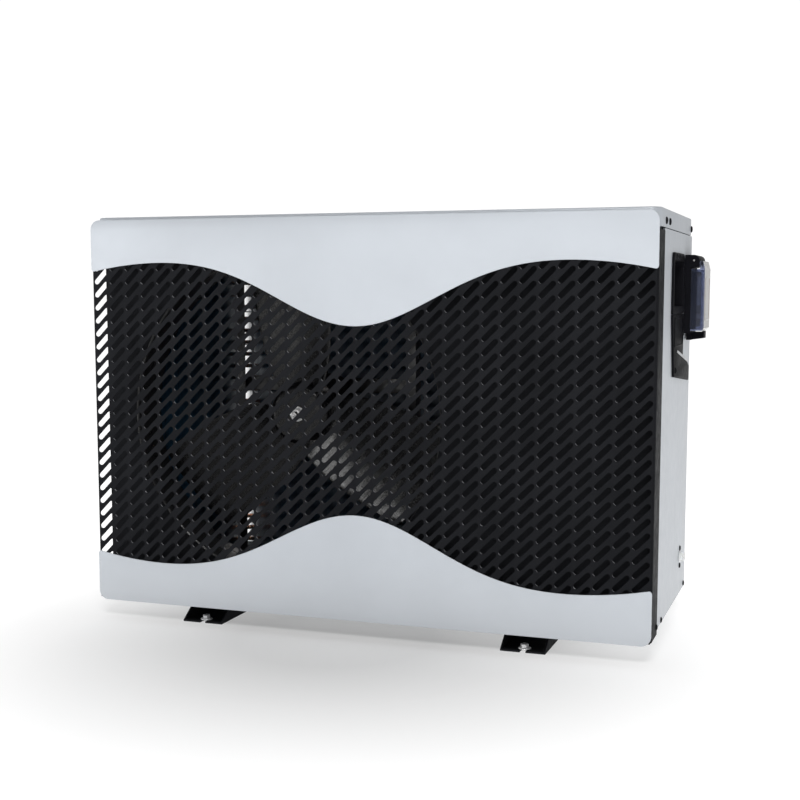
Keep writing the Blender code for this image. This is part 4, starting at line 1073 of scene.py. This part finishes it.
def make_display():
    refined("display_module", 0.0005)
    low, high = local("display_window")
    margin = 0.0006
    start = (low.x - 0.0001, low.y + margin, low.z + margin)
    backing = box(start, (low.x + 0.0001, high.y - margin, high.z - margin))
    piece(backing, "display_backing", 35, "screen", look="panel_glow")
    bars = []
    for index, figure in enumerate(DISPLAY_TEXT):
        for kind in SEGMENTS[figure]:
            y = low.y + 0.013 + FIGURE_PITCH * index
            bars.append(segment_bar(kind, low.x + 0.0002, y, low.z + 0.014))
    piece(bars, "display_figures", 35, "screen", look="segment")
    refined("display_window", 0.0003)
    for sign in ("power", "mode", "up", "down"):
        make_key(f"key_{sign}", sign)


def make_key(node, sign):
    """A domed key with a small raised sign on its face: a ring, a bar or an arrow head."""
    low, high = local(node)
    x, y, z = centre(node)
    radius = (high.z - low.z) / 2
    length = high.x - low.x
    profile = [(0.0, length), (radius * 0.5, length * 0.985), (radius * 0.86, length * 0.94)]
    profile += [(radius, length * 0.86), (radius, 0.0), (0.0, 0.0)]
    cap = turned(rounded_profile(profile, 0.0006, 3), (low.x, y, z), RIGHT, 40)
    piece(cap, f"{node}_cap", 40, "key_plastic", node)
    size = radius * 0.42
    if sign == "power":
        loops = [arc(y, z, size, 0, 345, 23), arc(y, z, size * 0.68, 0, 345, 23)]
    elif sign == "mode":
        start, end = (y - size, z - size * 0.3), (y + size, z + size * 0.3)
        loops = [rounded_rectangle(start, end, size * 0.2, 3)]
    else:
        rise = size if sign == "up" else -size
        loops = [[(y - size, z - rise * 0.6), (y + size, z - rise * 0.6), (y, z + rise)]]
    raised = cut_sheet(f"{node}_sign", loops, 0.0003, side_plane(high.x - 0.00005), 0.00005, 0)
    add(raised, "white_plastic", body=BODY_OF[node])


def make_drain_plug():
    x, y, z = centre("drain_plug")
    profile = mm((0, 8.8), (5, 8.8), (6.4, 7.4), (6.4, 2.2), (9, 1.8), (9.5, 1), (9.5, 0))
    profile += mm((5.5, 0), (5.5, -11.2), (0, -12))
    profile = rounded_profile(profile, 0.0006, 2)
    shapes = [turned(profile, (PANEL_FACE + 0.0002, y, z), RIGHT, 48)]
    for a, b in around(12, 0.0064, (y, z)):
        shapes.append(rod((PANEL_FACE + 0.0026, a, b), (PANEL_FACE + 0.0074, a, b), 0.0009, 8))
    piece(shapes, "drain_cap", 40, "white_plastic", "drain_plug")


# --- back


def make_water_side():
    for side in ("inlet", "outlet"):
        node = f"water_{side}_pipe"
        low, high = local(node)
        x, y, z = centre(node)
        outer = (high.x - low.x) / 2
        length = high.y - low.y
        profile = mm((-4, 0), (0, 0), out=outer)
        profile += mm((0, -1.5), (-1.2, 0), (-3.4, 0), (-4, -0.6), out=outer, up=length)
        shape = turned(profile, (x, low.y, z), BACK, 72)
        piece(shape, f"water_{side}_spigot", 35, "grey_pvc", node)
        make_union_nut(side, x, z, outer)


def make_union_nut(side, x, z, inner):
    node = f"{side}_union_nut"
    low, high = local(node)
    length = high.y - low.y
    profile = [(inner + 0.0004, 0.0), *mm((-1, 0), (0, 1.5), (0, 28), (-3.5, 33.5), out=NUT_RADIUS)]
    profile += mm((4, 0), (1.2, 0), (0.4, -1), out=inner, up=length)
    profile = rounded_profile(profile, 0.0008, 2)
    shapes = [turned(profile, (x, low.y, z), BACK, 72)]
    for a, b in around(20, NUT_RADIUS - 0.0004, (x, z)):
        shapes.append(rod((a, low.y + 0.0015, b), (a, low.y + 0.029, b), 0.0018, 8))
    piece(shapes, f"{side}_union_ribbed", 40, "dark_pvc", node)


def make_gland():
    x, y, z = centre("cable_gland")
    start = local("cable_gland")[0].y + 0.01
    profile = mm((6, -10), (8.8, -10), (8.8, 0), (15, 0), (15, 3), (6, 3))
    flange = turned(profile, (x, start, z), BACK, 6)
    profile = mm((6, 3), (13.2, 3), (13.2, 12.5), (10.5, 20), (7.5, 21.8), (6, 21))
    dome = turned(rounded_profile(profile, 0.0012, 3), (x, start, z), BACK, 48)
    shapes = [flange, dome]
    for a, b in around(16, 0.013, (x, z)):
        shapes.append(rod((a, start + 0.0034, b), (a, start + 0.0125, b), 0.0007, 6))
    piece(shapes, "gland_body", 35, "black_plastic", "cable_gland")


def make_rear():
    refined("rear_panel", 0.0006)
    low, high = local("rear_panel")
    for column, x in enumerate((low.x + 0.009, high.x - 0.012)):
        for row, z in enumerate(REAR_SCREW_HEIGHTS):
            name = f"rear_screw_{column + 1}_{row + 1}"
            screw(name, (x, high.y, z), BACK, 0.0042, 35 * row)
    refined("rear_left_post", 0.0005)
    refined("front_left_post", 0.0005)
    guard("left_guard", 1, "left_wire_guard")
    guard("rear_guard", 0, "rear_wire_guard")


# --- chassis and inside


def make_feet():
    for side in ("left", "right"):
        refined(f"foot_{side}", 0.0009, 3)
        for end in ("front", "rear"):
            make_foot_bolt(f"foot_bolt_{end}_{side}")


def make_foot_bolt(node):
    """A hexagon bolt with a round flange under its head."""
    low, high = local(node)
    x, y, z = centre(node)
    place = (x, y, high.z - 0.0075)
    flange = turned(mm((0, 0), (9.6, 0), (9.8, 1), (8.2, 2.2), (0, 2.2)), place, UP, 40)
    head = turned(mm((0, 0), (6.2, 0), (6.2, 6.4), (5.2, 7.5), (0, 7.5)), place, UP, 6)
    shank = rod((x, y, low.z + 0.0001), (x, y, high.z - 0.0073), 0.0039)
    # The bolts take the lighter copy of zinc: painted light, as they stand in the unit's shade.
    bolt = piece([flange, head, shank], f"{node}_hex", 30, "zinc", node, "zinc_painted_lit")
    rounded_edges(bolt, 0.0004)


def make_compressor():
    """A domed shell on a three-eared foot, each ear on a grommet with a stud through it."""
    x, y = COMPRESSOR
    radius = COMPRESSOR_RADIUS
    profile = [(0.0, 0.27)]
    for step in range(1, 9):
        angle = pi / 2 * step / 8
        profile.append((radius * sin(angle), 0.236 + 0.034 * cos(angle)))
    profile += mm((0, 226), (1.2, 224.5), (1.2, 221.5), (0, 220), (0, 52), out=radius)
    profile += [(radius * 0.96, 0.042), (radius * 0.82, 0.033), (radius * 0.5, 0.028), (0.0, 0.028)]
    ears = around(3, 0.068, COMPRESSOR, 30)
    shapes = [turned(profile, (x, y, 0.0), UP, 64), rod((x, y, 0.0234), (x, y, 0.0262), 0.074, 6)]
    outlet = (x + 0.02, y - 0.024)
    shapes.append(rod((*outlet, 0.24), (*outlet, 0.2778), 0.0068))
    shapes += [rod((*ear, 0.0234), (*ear, 0.0262), 0.013) for ear in ears]
    piece(shapes, "compressor_shell", 30, "black_paint", "compressor")
    ring = mm((4.5, 0), (11, 0), (12, 2), (9.5, 4.2), (12, 6.4), (11, 8.4), (4.5, 8.4))
    for number, ear in enumerate(ears, 1):
        grommet = turned(ring, (*ear, 0.0142), UP, 32)
        piece(grommet, f"compressor_grommet_{number}", 40, "rubber")
        stud = rod((*ear, 0.014), (*ear, 0.036), 0.003)
        nut = rod((*ear, 0.0266), (*ear, 0.0312), 0.006, 6)
        rounded_edges(piece([stud, nut], f"compressor_stud_{number}", 30, "zinc"), 0.0003)


def make_vessels():
    profile = mm((0, 217.5), (6.8, 217.5), (6.8, 209), (16, 206), (25, 198), (28, 188), (28, 66))
    profile += mm((25, 56), (16, 50), (13, 47), (13, 14.1), (0, 14.1))
    shape = turned(rounded_profile(profile, 0.003, 3), (*ACCUMULATOR, 0.0), UP, 48)
    piece(shape, "accumulator_shell", 40, "black_paint", "accumulator")
    for node in ("heat_exchanger", "four_way_valve", "expansion_valve", "coil_header"):
        refined(node, 0.0005, 2, 50)
    refined("coil_end_plate", 0.0002, 1)
    for node in ("coil_gas_pipe", "discharge_pipe", "suction_pipe", "hot_gas_pipe"):
        smooth_pipe(node)
    for end in ("inlet", "outlet"):
        smooth_pipe(f"liquid_pipe_{end}")


def make_chassis():
    for node in ("base_pan", "partition_plate", "electrical_box"):
        refined(node)
    refined("control_board", 0.0003, 1)
    x, y, z = centre("drain_nozzle")
    profile = mm((6.4, 0), (15, 0), (15, -3), (8.8, -4), (8.2, -11), (9.5, -11.8), (8, -19.5))
    profile = rounded_profile(profile + mm((6.4, -20)), 0.0008, 2)
    shape = turned(profile, (x, y, local("drain_nozzle")[1].z), UP, 48)
    piece(shape, "drain_spigot", 40, "black_plastic", "drain_nozzle")
    refined("right_side_panel", 0.002, 4)


# --- studio


def make_floor():
    """Pale paper that glows more and more away from a point just in front of the unit, so that it ends in white;
    this glow is painted light that lifts the shade behind the unit and shapes the shadow in front of it.
    """
    shape = bmesh.new()
    bmesh.ops.create_grid(shape, x_segments=1, y_segments=1, size=12.0)
    floor = object_from(shape, "studio_floor")
    look = Look("floor_paper", (0.5, 0.5, 0.5), 0.9)
    look.inputs["Emission Color"].default_value = (1.0, 1.0, 1.0, 1.0)
    moved = add_node(look.tree, "VectorMath", look.place, (0.05, 0.2, 0.0), operation="ADD")
    distance = add_node(look.tree, "VectorMath", moved.outputs[0], operation="LENGTH")
    glow = look.spread(distance.outputs["Value"], 0.3, 0.88, 0.15, 0.75)
    feed(look.tree, look.inputs["Emission Strength"], glow)
    look.colour(look.mottled((0.5, 0.5, 0.5), 0.98, 1.02, 1.5, 2.0))
    floor.data.materials.append(look.material)


def area_light(name, place, aim, size, power):
    data = bpy.data.lights.new(name, "AREA")
    data.shape = "RECTANGLE"
    data.size, data.size_y = size
    data.energy = power
    light = placed(name, data)
    light.location = place
    light.rotation_euler = (Vector(aim) - Vector(place)).to_track_quat("-Z", "Y").to_euler()


def make_lights():
    area_light("top_softbox", (-0.35, -2.3, 4.5), (0.0, 0.0, 0.3), (3.8, 2.1), 8.0)
    area_light("key_softbox", (1.12, -3.45, 3.47), (-0.08, -0.09, 0.25), (1.75, 1.15), 110.0)
    area_light("left_softbox", (-2.6, -1.9, 0.3), (0.0, 0.0, 0.2), (1.4, 1.0), 10.0)
    area_light("front_fill", (0.2, -4.2, 0.4), (0.0, 0.0, 0.12), (4.0, 1.4), 20.0)


def make_world():
    """White behind the unit, fading to dark in front of it above the horizon and to its right."""
    world = bpy.data.worlds.new("studio")
    world.use_nodes = True
    tree = world.node_tree
    background = tree.nodes["Background"]
    background.inputs["Color"].default_value = (1.0, 1.0, 1.0, 1.0)
    direction = add_node(tree, "TexCoord").outputs["Generated"]
    way = add_node(tree, "SeparateXYZ", direction).outputs
    horizon = ranged(tree, way["Z"], 0.8, 0.1, 0.02, 0.36)
    behind = ranged(tree, way["Y"], horizon, 1.05, 0.1, 0.65)
    right = ranged(tree, way["X"], 1.0, 0.5, -0.02, 0.2)
    strength = add_node(tree, "Math", behind, right, operation="MULTIPLY")
    feed(tree, background.inputs["Strength"], strength.outputs["Value"])
    bpy.context.scene.world = world


def make_camera():
    """The photograph's camera, solved from the cabinet's straight edges."""
    azimuth = radians(19.19)
    elevation = radians(6.29)
    level = cos(elevation)
    forward = Vector((-sin(azimuth) * level, cos(azimuth) * level, -sin(elevation)))
    data = bpy.data.cameras.new("view")
    data.lens = 58.4
    data.sensor_width = 36.0
    data.shift_x = -0.0073
    data.shift_y = 0.0419
    data.clip_end = 60.0
    camera = placed("view", data)
    camera.location = at(1.149, -1.789, 0.4976)
    camera.rotation_euler = forward.to_track_quat("-Z", "Y").to_euler()
    bpy.context.scene.camera = camera


make_trims()
make_grille()
make_lid()
make_side_screws()
make_fan()
make_shroud()
make_motor()
make_coil()
make_rear()
make_handle()
make_terminal_cover()
make_controller()
make_drain_plug()
make_water_side()
make_gland()
make_feet()
make_compressor()
make_vessels()
make_chassis()
make_floor()
make_lights()
make_world()
make_camera()
bpy.context.scene.view_settings.view_transform = "Standard"
